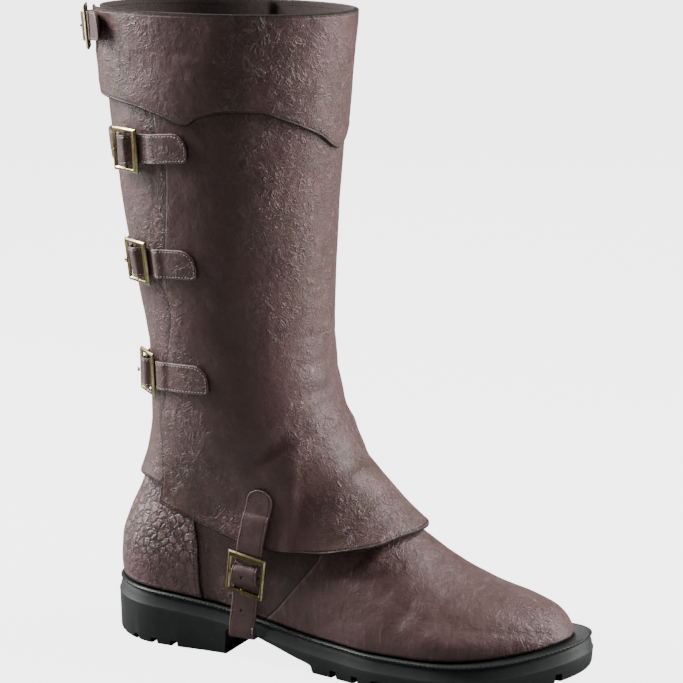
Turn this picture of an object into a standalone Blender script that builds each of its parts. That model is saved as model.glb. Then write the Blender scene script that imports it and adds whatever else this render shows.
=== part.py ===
import math

import bmesh
import bpy
import numpy as np
from mathutils import Matrix, Vector

# Right boot: +X runs to the toe, +Y to the inner (medial) side, +Z up.
# The origin lies on the floor under the middle of the heel block. All lengths are in metres.

fit_gap = 0.0003
overlay_gap = 0.0006

# Sole
sole_length = 0.307
heel_block_length = 0.090
heel_width = 0.079
waist_width = 0.075
ball_width = 0.108
heel_height = 0.0345
forefoot_height = 0.0205
toe_lift = 0.0118
breast_height = 0.0175
lug_depth = 0.0052
heel_lug_depth = 0.0040
lug_slot_width = 0.0045
lug_slot_reach = 0.013
sole_overhang = 0.0046
toe_reach = 0.9603
rim_height = 0.0022
band_height = 0.0070
band_slope = 0.0022
heel_back = -heel_block_length / 2

# Upper
upper_wall = 0.0022
ankle_boot_height = 0.114
ankle_width = 0.069
collar_width = 0.077
insole_thickness = 0.003
counter_thickness = 0.0011
toe_taper = 0.020
zip_tape_width = 0.016
zip_tape_thickness = 0.0008
slider_length = 0.010
slider_width = 0.0085
slider_thickness = 0.0018
pull_length = 0.020
pull_width = 0.0055
pull_thickness = 0.0010

# Gaiter
panel_wall = 0.0016
shaft_top = 0.386
shaft_top_length = 0.1585
shaft_ankle_length = 0.1095
shaft_top_width = 0.108
shaft_ankle_width = 0.096
instep_clearance = 0.0035
hem_flare = 0.0045
hem_drop = 0.0203
hem_reach = 0.055
cuff_thickness = 0.0015
cuff_height = 0.0565

# Straps and buckles
strap_width = 0.0175
strap_thickness = 0.0017
tip_length = 0.0102
tip_flare = 0.0045
buckle_height = 0.0260
buckle_length = 0.0240
buckle_bar = 0.0026
buckle_front_bar = 0.0040
buckle_thickness = 0.0018
prong_width = 0.0016
tab_width = 0.0110
tab_thickness = 0.0009
stirrup_width = 0.0170
stirrup_buckle_width = 0.0250
stirrup_buckle_height = 0.0270


def column(rows, index):
    return np.array([row[index] for row in rows], float)


def curve(rows, index, at):
    # A smooth curve through a table's rows that never swings past them.
    places, values = column(rows, 0), column(rows, index)
    steps = np.diff(places)
    slopes = np.diff(values) / steps
    tangents = np.zeros_like(values)
    tangents[0], tangents[-1] = slopes[0], slopes[-1]
    before, after = slopes[:-1], slopes[1:]
    same = before * after > 0
    total = np.where(same, before + after, 1.0)
    tangents[1:-1] = np.where(same, 2 * before * after / total, 0.0)
    at = np.clip(np.asarray(at, float), places[0], places[-1])
    cell = np.clip(np.searchsorted(places, at, side="right") - 1, 0, len(steps) - 1)
    width = steps[cell]
    share = (at - places[cell]) / width
    square, cube = share**2, share**3
    return (
        values[cell] * (2 * cube - 3 * square + 1)
        + tangents[cell] * width * (cube - 2 * square + share)
        + values[cell + 1] * (3 * square - 2 * cube)
        + tangents[cell + 1] * width * (cube - square)
    )


def ease(start, end, at):
    share = np.clip((np.asarray(at, float) - start) / (end - start), 0, 1)
    return share * share * (3 - 2 * share)


def rounding(share, power_in, power_out):
    return np.power(np.clip(1 - np.power(np.clip(share, 0, 1), power_in), 0, 1), 1 / power_out)


# Plan of the sole
# along, outer half width, inner half width
plan_rows = (
    (0.00, 0.47 * heel_width, 0.47 * heel_width),
    (0.14, 0.50 * heel_width, 0.50 * heel_width),
    (0.28, 0.50 * waist_width, 0.47 * waist_width),
    (0.42, 0.56 * waist_width, 0.45 * waist_width),
    (0.54, 0.445 * ball_width, 0.37 * ball_width),
    (0.64, 0.495 * ball_width, 0.435 * ball_width),
    (0.74, 0.500 * ball_width, 0.480 * ball_width),
    (0.84, 0.470 * ball_width, 0.495 * ball_width),
    (0.92, 0.425 * ball_width, 0.490 * ball_width),
    (1.00, 0.385 * ball_width, 0.480 * ball_width),
)
heel_round_end, toe_round_start = 0.135, 0.76
toe_centre = 0.5 * (plan_rows[-1][2] - plan_rows[-1][1])


def plan_half(share, side, inset):
    # Half width at a share of the length, on side -1 (outer) or 1 (inner), measured from the toe's own line.
    share = np.clip(np.asarray(share, float), 0, 1)
    index = np.where(np.asarray(side) > 0, 2, 1)
    half = np.where(index == 2, curve(plan_rows, 2, share), curve(plan_rows, 1, share)) - inset
    swing = toe_centre * ease(0.5, 1.0, share)
    own = half - np.asarray(side) * swing
    heel = rounding(1 - share / heel_round_end, 2.15, 2.0)
    toe = rounding((share - toe_round_start) / (1 - toe_round_start), 2.15, 2.05)
    own = own * np.where(share < heel_round_end, heel, 1) * np.where(share > toe_round_start, toe, 1)
    return own, swing


# Heights along the sole
# along, height of the top edge as a share between forefoot and heel
top_rows = ((0.0, 1.10), (0.07, 1.05), (0.16, 0.95), (0.26, 0.74), (0.38, 0.38), (0.52, 0.08), (0.64, 0.0), (0.80, 0.0), (1.0, 0.0))
# along, share of the toe lift
spring_rows = ((0.0, 0.0), (0.68, 0.0), (0.78, 0.07), (0.87, 0.29), (0.94, 0.62), (1.0, 1.0))


def along_of(x):
    return (np.asarray(x, float) - heel_back) / sole_length


def feather(x):
    share = np.clip(along_of(x), 0, 1)
    return (
        forefoot_height
        + (heel_height - forefoot_height) * curve(top_rows, 1, share)
        + toe_lift * curve(spring_rows, 1, share)
    )


# Side view of the upper: rise, forward of the heel seat (share of the sole's length), height (share)
back_rows = (
    (0.00, 0.000, 0.00),
    (0.10, -0.004, 0.09),
    (0.22, 0.000, 0.22),
    (0.36, 0.019, 0.37),
    (0.50, 0.041, 0.51),
    (0.64, 0.058, 0.64),
    (0.80, 0.074, 0.80),
    (1.00, 0.088, 1.00),
)
# rise, from the heel's back (share of the sole's length), height above the sole (share)
front_rows = (
    (0.00, toe_reach, 0.000),
    (0.05, 0.9560, 0.038),
    (0.11, 0.9480, 0.076),
    (0.18, 0.9380, 0.113),
    (0.26, 0.9160, 0.163),
    (0.36, 0.8540, 0.229),
    (0.45, 0.7820, 0.289),
    (0.53, 0.7180, 0.368),
    (0.61, 0.6550, 0.468),
    (0.69, 0.5900, 0.575),
    (0.78, 0.5250, 0.705),
    (0.86, 0.4750, 0.805),
    (0.93, 0.4380, 0.905),
    (1.00, 0.4250, 1.000),
)
# height share, half width as a share of the ankle's and of the collar's
leg_rows = ((0.0, 0.56, 0.0), (0.35, 0.52, 0.0), (0.62, 0.50, 0.0), (0.82, 0.24, 0.26), (1.0, 0.0, 0.50))
# along the sole, fullness of the section low down, fullness at the ridge
section_rows = ((0.0, 2.2, 2.0), (0.45, 1.9, 1.6), (0.62, 1.95, 1.7), (0.80, 2.05, 1.8), (0.93, 2.1, 1.9), (1.0, 2.1, 1.9))

seat_x = heel_back + sole_overhang
seat_z = feather(seat_x)
toe_x = heel_back + toe_reach * sole_length
toe_ledge = sole_length - sole_overhang - (toe_x - heel_back)
collar_z = seat_z + ankle_boot_height
dense = np.linspace(0, 1, 241)


def upper_back(rise):
    x = seat_x + sole_length * curve(back_rows, 1, rise)
    return x, seat_z + ankle_boot_height * curve(back_rows, 2, rise)


def upper_front(rise):
    x = np.minimum(heel_back + sole_length * curve(front_rows, 1, rise), toe_x)
    low = feather(x)
    return x, low + (collar_z - low) * curve(front_rows, 2, rise)


upper_back_line = upper_back(dense)
upper_front_line = upper_front(dense)


upper_climb, gaiter_climb = 1.3, 4.0


def ridge_height(line, x, climb):
    # Height of the front line over a place along the boot; it climbs on behind the line's rearmost point.
    rearmost = int(np.argmin(line[0])) + 1
    xs, zs = line[0][:rearmost][::-1], line[1][:rearmost][::-1]
    return np.interp(x, xs, zs) + np.maximum(xs[0] - np.asarray(x, float), 0) * climb


def at_height(line, z):
    return np.interp(z, line[1], line[0])


def foot_half(x, z, side, back_line, front_line, extra, climb):
    back = at_height(back_line, z)
    share = (x - back) / (toe_x - back)
    own, swing = plan_half(share, side, sole_overhang)
    low = feather(x)
    above = np.maximum(ridge_height(front_line, x, climb) - low, 0.0005)
    reach = np.clip((z - low) / above, 0, 1)
    fullness = curve(section_rows, 1, along_of(x))
    ridge = curve(section_rows, 2, along_of(x))
    bulge = 1 + 0.035 * np.sin(math.pi * np.clip(reach * 2.0, 0, 1))
    taper = np.minimum(own / toe_taper, 1)
    return (own * bulge + extra * taper) * rounding(reach, fullness, ridge), swing


def leg_half(x, z, back_line, front_line, half, power):
    back, front = at_height(back_line, z), at_height(front_line, z)
    share = np.abs((x - 0.5 * (back + front)) / (0.5 * (front - back)))
    return half * rounding(share, power, power)


def upper_at(x, z, side):
    low, swing = foot_half(x, z, side, upper_back_line, upper_front_line, 0.0, upper_climb)
    level = np.clip((z - seat_z) / ankle_boot_height, 0, 1)
    half = curve(leg_rows, 1, level) * ankle_width + curve(leg_rows, 2, level) * collar_width
    leg = leg_half(x, z, upper_back_line, upper_front_line, half, 2.15)
    mix = ease(0.16, 0.74, level)
    return side * (low * (1 - mix) + leg * mix) + swing * (1 - mix)


def ring_share(turn):
    return (1 - np.cos(math.pi * np.abs(turn))) / 2


def upper_surface(turn, rise):
    # turn: 0 at the back, -1 round the outer side and 1 round the inner side to the front.
    share, side = ring_share(turn), np.where(turn < 0, -1.0, 1.0)
    back_x, back_z = upper_back(rise)
    front_x, front_z = upper_front(rise)
    x = back_x + share * (front_x - back_x)
    z = back_z + share * (front_z - back_z)
    low_x = seat_x + share * (toe_x - seat_x)
    low_chord = seat_z + share * (feather(toe_x) - seat_z)
    z = z + (feather(low_x) - low_chord) * (1 - rise) ** 2
    return np.stack([x, upper_at(x, z, side), z], axis=-1)


# Side view of the gaiter: rise, place along X (share of the shaft's length there), height (share of its top)
calf_swell = shaft_top_length - shaft_ankle_length
shaft_back_x = -0.0185
hem_back_z = 0.104
tip_x = heel_back + 0.662 * sole_length
gaiter_back_rows = (
    (0.00, -0.155, 0.000),
    (0.07, -0.060, 0.060),
    (0.15, 0.000, 0.140),
    (0.27, 0.000, 0.260),
    (0.42, 0.130, 0.400),
    (0.60, 0.330, 0.570),
    (0.80, 0.510, 0.780),
    (1.00, 0.640, 1.000),
)
gaiter_front_rows = (
    (0.00, 1.000, 0.000, 0.0),
    (0.05, 0.830, 0.032, 0.0),
    (0.11, 0.600, 0.080, 0.0),
    (0.18, 0.370, 0.137, 0.0),
    (0.26, 0.170, 0.206, 0.0),
    (0.35, 0.060, 0.290, 0.0),
    (0.46, 0.005, 0.400, 0.02),
    (0.62, 0.000, 0.560, 0.065),
    (0.80, 0.000, 0.770, 0.170),
    (1.00, 0.000, 1.000, 0.31),
)
# share round the side, share of the hem's drop
hem_rows = (
    (0.00, 0.00),
    (0.09, 0.22),
    (0.17, 0.45),
    (0.30, 0.72),
    (0.38, 0.89),
    (0.46, 1.00),
    (0.57, 0.97),
    (0.65, 0.89),
    (0.74, 0.77),
    (0.83, 0.54),
    (0.92, 0.29),
    (0.97, 0.07),
    (1.00, 0.00),
)
# height share, half width share of the ankle's and of the top's
shaft_rows = ((0.0, 0.50, 0.0), (0.25, 0.50, 0.0), (0.50, 0.28, 0.23), (0.75, 0.10, 0.41), (1.0, 0.0, 0.50))

shin_x = shaft_back_x + shaft_ankle_length
tip_z = float(ridge_height(upper_front_line, tip_x, upper_climb)) + instep_clearance


def gaiter_back(rise):
    share = curve(gaiter_back_rows, 1, rise)
    x = shaft_back_x - calf_swell * np.maximum(share, 0) + hem_reach * np.minimum(share, 0)
    return x, hem_back_z + (shaft_top - hem_back_z) * curve(gaiter_back_rows, 2, rise)


def gaiter_front(rise):
    x = shin_x + (tip_x - shin_x) * curve(gaiter_front_rows, 1, rise)
    x = x + calf_swell * curve(gaiter_front_rows, 3, rise)
    return x, tip_z + (shaft_top - tip_z) * curve(gaiter_front_rows, 2, rise)


gaiter_back_line = gaiter_back(dense)
gaiter_front_line = gaiter_front(dense)


def gaiter_at(x, z, side):
    over_foot = (z - seat_z) / ankle_boot_height
    flare = instep_clearance + hem_flare * (1 - ease(0.30, 0.83, over_foot))
    low, swing = foot_half(x, z, side, gaiter_back_line, gaiter_front_line, flare, gaiter_climb)
    level = np.clip((z - hem_back_z) / (shaft_top - hem_back_z), 0, 1)
    half = curve(shaft_rows, 1, level) * shaft_ankle_width + curve(shaft_rows, 2, level) * shaft_top_width
    leg = leg_half(x, z, gaiter_back_line, gaiter_front_line, half, 2.1)
    mix = ease(0.37, 1.0, over_foot)
    return side * (low * (1 - mix) + leg * mix) + swing * (1 - mix)


def gaiter_surface(turn, rise):
    share, side = ring_share(turn), np.where(turn < 0, -1.0, 1.0)
    back_x, back_z = gaiter_back(rise)
    front_x, front_z = gaiter_front(rise)
    x = back_x + share * (front_x - back_x)
    z = back_z + share * (front_z - back_z) - hem_drop * curve(hem_rows, 1, share) * (1 - rise) ** 3
    return np.stack([x, gaiter_at(x, z, side), z], axis=-1)


def gaiter_level(turn, z):
    # The same surface, found by height instead of by rise.
    share, side = ring_share(turn), np.where(turn < 0, -1.0, 1.0)
    back, front = at_height(gaiter_back_line, z), at_height(gaiter_front_line, z)
    x = back + share * (front - back)
    return np.stack([x, gaiter_at(x, z, side), z + 0 * x], axis=-1)


def with_normals(surface, first, second, step=(0.004, 0.004), limits=(0.0, 1.0)):
    # Points of a surface and their outward unit normals.
    first, second = np.broadcast_arrays(np.asarray(first, float), np.asarray(second, float))
    points = surface(first, second)
    low = np.maximum(second - step[1], limits[0])
    high = np.minimum(second + step[1], limits[1])
    across = surface(first + step[0], second) - surface(first - step[0], second)
    wrap_low, wrap_high = np.where(first - step[0] < -1), np.where(first + step[0] > 1)
    across[wrap_high] = (surface(first, second) - surface(first - step[0], second))[wrap_high]
    across[wrap_high] = across[wrap_high] * np.array([0, 1, 0])
    across[wrap_low] = (surface(first + step[0], second) - surface(first, second))[wrap_low]
    across[wrap_low] = across[wrap_low] * np.array([0, 1, 0])
    normals = np.cross(surface(first, high) - surface(first, low), across)
    normals /= np.linalg.norm(normals, axis=-1, keepdims=True)
    return points, normals


def material(name, colour, roughness, metallic=0.0):
    made = bpy.data.materials.new(name)
    made.use_nodes = True
    shader = made.node_tree.nodes["Principled BSDF"]
    shader.inputs["Base Color"].default_value = (*colour, 1)
    shader.inputs["Roughness"].default_value = roughness
    shader.inputs["Metallic"].default_value = metallic
    made.diffuse_color = (*colour, 1)
    return made


def add_object(name, verts, faces, look, parent=None, smooth=40):
    mesh = bpy.data.meshes.new(name)
    mesh.from_pydata([tuple(map(float, v)) for v in verts], [], [tuple(map(int, f)) for f in faces])
    made = bmesh.new()
    made.from_mesh(mesh)
    bmesh.ops.remove_doubles(made, verts=made.verts, dist=0.00001)
    bmesh.ops.recalc_face_normals(made, faces=made.faces)
    made.to_mesh(mesh)
    made.free()
    mesh.shade_smooth()
    mesh.set_sharp_from_angle(angle=math.radians(smooth))
    placed = bpy.data.objects.new(name, mesh)
    bpy.context.scene.collection.objects.link(placed)
    if look:
        mesh.materials.append(look)
    if parent:
        placed.parent = parent
    return placed


def shell(name, points, normals, outer, inner, look, closed=False, level_ends=(False, False), parent=None):
    # A wall between two offsets of a grid of points: columns run round, rows run up.
    columns, rows = points.shape[:2]
    outer = np.broadcast_to(np.asarray(outer, float), (columns, rows))[..., None]
    inner = np.broadcast_to(np.asarray(inner, float), (columns, rows))[..., None]
    outside, inside = points + normals * outer, points + normals * inner
    for flat, row in zip(level_ends, (0, rows - 1)):
        if flat:
            outside[:, row, 2] = points[:, row, 2]
            inside[:, row, 2] = points[:, row, 2]
    verts = np.concatenate([outside.reshape(-1, 3), inside.reshape(-1, 3)])
    index = np.arange(columns * rows).reshape(columns, rows)
    back = index + columns * rows
    faces = []
    spans = columns if closed else columns - 1
    for i in range(spans):
        k = (i + 1) % columns
        for j in range(rows - 1):
            faces.append((index[i, j], index[k, j], index[k, j + 1], index[i, j + 1]))
            faces.append((back[i, j + 1], back[k, j + 1], back[k, j], back[i, j]))
        faces.append((index[i, 0], back[i, 0], back[k, 0], index[k, 0]))
        faces.append((index[k, rows - 1], back[k, rows - 1], back[i, rows - 1], index[i, rows - 1]))
    if not closed:
        for j in range(rows - 1):
            faces.append((index[0, j + 1], back[0, j + 1], back[0, j], index[0, j]))
            faces.append((index[-1, j], back[-1, j], back[-1, j + 1], index[-1, j + 1]))
    return add_object(name, verts, faces, look, parent)


def box(size, centre, turn=None):
    # Corners and faces of a box; turn is a 3 x 3 matrix.
    corners = []
    for x in (-0.5, 0.5):
        for y in (-0.5, 0.5):
            for z in (-0.5, 0.5):
                corner = Vector((x * size[0], y * size[1], z * size[2]))
                corners.append((turn @ corner if turn else corner) + Vector(centre))
    faces = [(0, 1, 3, 2), (4, 6, 7, 5), (0, 4, 5, 1), (2, 3, 7, 6), (0, 2, 6, 4), (1, 5, 7, 3)]
    return corners, faces


def cutter(name, shapes):
    verts, faces = [], []
    for corners, sides in shapes:
        faces += [tuple(len(verts) + i for i in side) for side in sides]
        verts += corners
    made = add_object(name, verts, faces, None)
    made.hide_render = True
    made.display_type = "WIRE"
    return made


def cut(target, tool, operation="DIFFERENCE"):
    boolean = target.modifiers.new(tool.name, "BOOLEAN")
    boolean.operation = operation
    boolean.object = tool
    boolean.solver = "EXACT"


for old in list(bpy.data.objects):
    bpy.data.objects.remove(old, do_unlink=True)

leather = material("brown leather", (0.125, 0.085, 0.078), 0.55)
lining = material("lining cloth", (0.030, 0.022, 0.020), 0.85)
rubber = material("sole rubber", (0.022, 0.025, 0.024), 0.6)
brass = material("antique brass", (0.38, 0.31, 0.14), 0.35, 1.0)
zip_metal = material("zip metal", (0.30, 0.27, 0.22), 0.35, 1.0)
tape_cloth = material("zip tape", (0.030, 0.022, 0.020), 0.9)

boot = bpy.data.objects.new("boot", None)
bpy.context.scene.collection.objects.link(boot)


# Outsole

def outline(inset, count, toe_inset=0.0):
    # Points round the sole, outer side first, from the heel's back to the toe and home again.
    start, length = heel_back + inset, sole_length - 2 * inset - toe_inset
    places = (1 - np.cos(np.linspace(0, math.pi, count + 1))) / 2
    outer, swing = plan_half(places, -1, inset)
    inner, _ = plan_half(places, 1, inset)
    lateral = np.stack([start + places * length, swing - outer], axis=1)
    medial = np.stack([start + places * length, swing + inner], axis=1)
    return lateral, medial


def sole_body(name, levels, count, look, toe_inset=0.0):
    # levels: inset, height function. Ladder faces close the bottom and the top.
    rings = []
    for inset, height in levels:
        lateral, medial = outline(inset, count, toe_inset)
        ring = np.concatenate([lateral, medial[-2:0:-1]])
        rings.append([(x, y, float(height(x))) for x, y in ring])
    size = len(rings[0])
    verts = [point for ring in rings for point in ring]
    faces = []
    for level in range(len(rings) - 1):
        for i in range(size):
            k = (i + 1) % size
            faces.append((level * size + i, level * size + k, (level + 1) * size + k, (level + 1) * size + i))
    for base in (0, (len(rings) - 1) * size):
        for i in range(count):
            a, b = base + i, base + i + 1
            c, d = base + (size - i - 1) % size, base + (size - i) % size
            face = [a, b, c, d]
            faces.append(tuple(dict.fromkeys(face)))
    return add_object(name, verts, faces, look, boot, smooth=35)


def tread(x):
    return toe_lift * curve(spring_rows, 1, np.clip(along_of(x), 0, 1))


def sole_top(x):
    return feather(x) - fit_gap


def below_top(drop):
    return lambda x: sole_top(x) - drop


def above_tread(rise):
    return lambda x: tread(x) + rise


outsole = sole_body(
    "outsole",
    (
        (0.0032, above_tread(0.0)),
        (0.0014, above_tread(0.0009)),
        (0.0006, above_tread(0.0032)),
        (0.0, below_top(rim_height + band_height)),
        (band_slope, below_top(rim_height + 0.0004)),
        (band_slope - 0.0009, below_top(rim_height)),
        (band_slope - 0.0009, below_top(0.0005)),
        (band_slope - 0.0003, below_top(0.0)),
    ),
    30,
    rubber,
)

# Arch: the waist's underside rises from the forefoot tread to the heel breast.
breast_x = heel_back + heel_block_length
arch_end_x = heel_back + 0.492 * sole_length
# along the arch, share of the breast's height
arch_rows = ((0.0, 0.90), (0.06, 1.0), (0.25, 0.96), (0.55, 0.72), (0.80, 0.47), (0.96, 0.34), (1.0, 0.28))
arch_side = [(breast_x - 0.0015, -0.01)]
for share in np.linspace(0, 1, 9):
    x = breast_x + share * (arch_end_x - breast_x)
    arch_side.append((x, breast_height * float(curve(arch_rows, 1, share))))
arch_side.append((arch_end_x + 0.0035, -0.01))
arch_verts = [(x, y, z) for y in (-ball_width, ball_width) for x, z in arch_side]
sides = len(arch_side)
arch_faces = [tuple(range(sides))[::-1], tuple(range(sides, 2 * sides))]
arch_faces += [(i, (i + 1) % sides, sides + (i + 1) % sides, sides + i) for i in range(sides)]
cut(outsole, cutter("arch_cutter", [(arch_verts, arch_faces)]))

# Lug slots round the heel block and the forefoot, square to the edge.
slots = []
lateral_edge, medial_edge = outline(0.0, 400)
heel_slots = (0.038, 0.086, 0.133, 0.179)
forefoot_slots = (0.545, 0.592, 0.639, 0.686, 0.733, 0.780, 0.828, 0.877, 0.925, 0.970)
for edge in (lateral_edge, medial_edge):
    for place in heel_slots + forefoot_slots:
        row = int(np.argmin(np.abs(along_of(edge[:, 0]) - place)))
        row = min(max(row, 2), len(edge) - 3)
        run = Vector((*(edge[row + 2] - edge[row - 2]), 0)).normalized()
        inward = Vector((-run.y, run.x, 0))
        if inward.dot(Vector((0.03 - edge[row][0] if place < 0.3 else 0.15 - edge[row][0], -edge[row][1], 0))) < 0:
            inward = -inward
        depth = heel_lug_depth if place < 0.3 else lug_depth
        low = float(tread(edge[row][0]))
        middle = Vector((*edge[row], 0)) + inward * (lug_slot_reach / 2 - 0.004)
        middle.z = low + depth - 0.010
        basis = Matrix((inward, run, Vector((0, 0, 1)))).transposed()
        slots.append(box((lug_slot_reach + 0.008, lug_slot_width, 0.020), middle, basis))
cut(outsole, cutter("lug_cutter", slots))


# Insole
insole_inset = sole_overhang + upper_wall + 0.0022
insole = sole_body(
    "insole",
    (
        (insole_inset, lambda x: feather(x) + fit_gap),
        (insole_inset, lambda x: feather(x) + fit_gap + 0.6 * insole_thickness),
        (insole_inset + 0.0010, lambda x: feather(x) + fit_gap + insole_thickness),
    ),
    24,
    lining,
    toe_ledge,
)


# Upper
upper_columns, upper_rises = 48, np.array([0, 0.045, 0.1, 0.16, 0.22, 0.285, 0.355, 0.43, 0.51, 0.59, 0.67, 0.75, 0.83, 0.915, 1.0])
turns = -1 + 2 * np.arange(upper_columns) / upper_columns
turn_grid, rise_grid = np.meshgrid(turns, upper_rises, indexing="ij")
points, normals = with_normals(upper_surface, turn_grid, rise_grid)
upper = shell("upper", points, normals, 0.0, -upper_wall, leather, closed=True, level_ends=(True, True), parent=boot)

# Heel counter: an overlay round the heel, cut from the same surface.
counter_edge = 0.3235
counter_top = 0.585
turn_grid, rise_grid = np.meshgrid(np.linspace(-1, 1, 21), np.linspace(0, 1, 8), indexing="ij")
points, normals = with_normals(upper_surface, turn_grid * counter_edge, 0.008 + rise_grid * (counter_top - 0.008))
skived = counter_thickness * (1 - 0.55 * ease(0.55, 0.85, rise_grid))
shell("counter", points, normals, overlay_gap + skived, overlay_gap, leather, parent=boot)

# Zip on the inner side, closed, its slider at the collar.
zip_turn, zip_bottom = 0.47, 0.36
tape_half = zip_tape_width / 2 / 0.16
turn_grid, rise_grid = np.meshgrid(np.linspace(-1, 1, 3), np.linspace(0, 1, 9), indexing="ij")
points, normals = with_normals(upper_surface, zip_turn + turn_grid * tape_half, zip_bottom + rise_grid * (0.992 - zip_bottom))
shell("zip_tape", points, normals, overlay_gap + zip_tape_thickness, overlay_gap, tape_cloth, parent=boot)


def placed_frame(surface, first, second, offset, limits=(0.0, 1.0)):
    # Axes on a surface: X round it to the outer front, Y up, Z outwards.
    point, normal = with_normals(surface, np.array([first]), np.array([second]), limits=limits)
    out = Vector(normal[0])
    ahead = Vector(surface(np.array([first - 0.004]), np.array([second]))[0] - surface(np.array([first + 0.004]), np.array([second]))[0])
    ahead = (ahead - out * ahead.dot(out)).normalized()
    up = out.cross(ahead)
    basis = Matrix((ahead, up, out)).transposed()
    return basis, Vector(point[0]) + out * offset


slider_rise = 0.955
basis, centre = placed_frame(upper_surface, zip_turn, slider_rise, overlay_gap + fit_gap + zip_tape_thickness + slider_thickness / 2)
corners, faces = box((slider_width, slider_length, slider_thickness), centre, basis)
slider = add_object("zip_slider", corners, faces, zip_metal, boot)
soften = slider.modifiers.new("edges", "BEVEL")
soften.width, soften.segments = 0.0005, 1

# The pull tab hangs from the slider on a pin across it, and swings out from the leg.
pin = bpy.data.objects.new("pull_pin", None)
bpy.context.scene.collection.objects.link(pin)
pin.location = centre + basis @ Vector((0, 0.001, slider_thickness / 2 + fit_gap + pull_thickness / 2))
pin.rotation_euler = basis.to_euler()
pin.parent = boot
hang = [(-0.5, 0.0015), (0.5, 0.0015), (0.5, -0.0160), (0.32, -0.0185), (-0.32, -0.0185), (-0.5, -0.0160)]
reach = pull_length / 0.020
pull_verts = [(x * pull_width, y * reach, z) for z in (-pull_thickness / 2, pull_thickness / 2) for x, y in hang]
pull_faces = [tuple(range(6))[::-1], tuple(range(6, 12))] + [(i, (i + 1) % 6, 6 + (i + 1) % 6, 6 + i) for i in range(6)]
add_object("zip_pull", pull_verts, pull_faces, zip_metal, pin)


# Gaiter panels
# rise, turn of the front panel's rear edge on the outer side
edge_rows = (
    (0.00, -0.270),
    (0.165, -0.268),
    (0.24, -0.317),
    (0.35, -0.365),
    (0.455, -0.412),
    (0.495, -0.395),
    (0.60, -0.429),
    (0.727, -0.449),
    (0.80, -0.420),
    (1.00, -0.400),
)
seam_turn = 0.46
panel_rises = np.array([0, 0.035, 0.075, 0.12, 0.17, 0.23, 0.30, 0.38, 0.46, 0.54, 0.62, 0.71, 0.80, 0.90, 1.0])
front_count = 31
share_grid, rise_grid = np.meshgrid(np.linspace(0, 1, front_count), panel_rises, indexing="ij")
start = curve(edge_rows, 1, rise_grid)
turn_grid = start + share_grid * ((seam_turn - 2) - start)
turn_grid = np.where(turn_grid < -1, turn_grid + 2, turn_grid)
points, normals = with_normals(gaiter_surface, turn_grid, rise_grid)
panel_out = overlay_gap + panel_wall
shell("gaiter_front", points, normals, panel_out, overlay_gap, leather, level_ends=(False, True), parent=boot)

back_count = 19
share_grid, rise_grid = np.meshgrid(np.linspace(0, 1, back_count), panel_rises, indexing="ij")
start = curve(edge_rows, 1, rise_grid) - 0.13
turn_grid = start + share_grid * (seam_turn + 0.05 - start)
back_low = 0.004 + 0.032 * ease(0.0, 0.15, ring_share(turn_grid))
rise_back = back_low + rise_grid * (1 - back_low)
points, normals = with_normals(gaiter_surface, turn_grid, rise_back)
shell("gaiter_back", points, normals, 0.0, -panel_wall, leather, level_ends=(False, True), parent=boot)

# Cuff: a scalloped band over the top of the front panel.
# share round the cuff, depth of its lower edge (share of the cuff's height)
cuff_rows = (
    (0.000, 0.900),
    (0.081, 0.920),
    (0.196, 0.973),
    (0.257, 1.050),
    (0.314, 1.140),
    (0.340, 1.060),
    (0.398, 1.000),
    (0.456, 0.996),
    (0.519, 1.085),
    (0.600, 1.237),
    (0.672, 1.400),
    (0.744, 1.237),
    (0.825, 1.085),
    (0.890, 0.996),
    (1.000, 0.990),
)
cuff_start, cuff_end = -0.10, seam_turn - 2 + 0.10
cuff_share = np.sort(np.concatenate([np.linspace(0, 1, 26), [0.314, 0.672]]))
share_grid, rise_grid = np.meshgrid(cuff_share, np.linspace(0, 1, 6), indexing="ij")
turn_grid = cuff_start + share_grid * (cuff_end - cuff_start)
turn_grid = np.where(turn_grid < -1, turn_grid + 2, turn_grid)
level_grid = shaft_top - (1 - rise_grid) * cuff_height * curve(cuff_rows, 1, share_grid)
points, normals = with_normals(gaiter_level, turn_grid, level_grid, limits=(0.0, shaft_top), step=(0.004, 0.002))
cuff_in = panel_out + overlay_gap
shell("cuff", points, normals, cuff_in + cuff_thickness, cuff_in, leather, level_ends=(False, True), parent=boot)


# Straps

def ribbon(name, inner, outward, widthwise, halves, thickness, look, parent):
    # A strap laid along a line of points: its inner face's middle, outward normals and width directions.
    halves = np.asarray(halves, float)
    if halves.ndim == 1:
        halves = np.stack([halves, halves], axis=1)
    low, high = inner - widthwise * halves[:, :1], inner + widthwise * halves[:, 1:]
    verts = np.concatenate([low, high, high + outward * thickness, low + outward * thickness])
    size = len(inner)
    faces = []
    for i in range(size - 1):
        for a, b in ((0, 1), (1, 2), (2, 3), (3, 0)):
            faces.append((a * size + i, b * size + i, b * size + i + 1, a * size + i + 1))
    faces.append((0, size, 2 * size, 3 * size))
    faces.append((4 * size - 1, 3 * size - 1, 2 * size - 1, size - 1))
    return add_object(name, verts, faces, look, parent, smooth=50)


def rod(name, path, radii, look, parent, sides=6):
    # A bar along a few points, thinner where its radii say so.
    path = [Vector(point) for point in path]
    verts, faces = [], []
    for i, point in enumerate(path):
        run = (path[min(i + 1, len(path) - 1)] - path[max(i - 1, 0)]).normalized()
        first = run.orthogonal().normalized()
        if i:
            first = (last - run * last.dot(run)).normalized()
        last = first
        second = run.cross(first)
        for k in range(sides):
            angle = 2 * math.pi * k / sides
            verts.append(point + radii[i] * (first * math.cos(angle) + second * math.sin(angle)))
    for i in range(len(path) - 1):
        for k in range(sides):
            a, b = i * sides + k, i * sides + (k + 1) % sides
            faces.append((a, b, b + sides, a + sides))
    faces.append(tuple(range(sides))[::-1])
    faces.append(tuple(range(len(verts) - sides, len(verts))))
    return add_object(name, verts, faces, look, parent, smooth=50)


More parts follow.
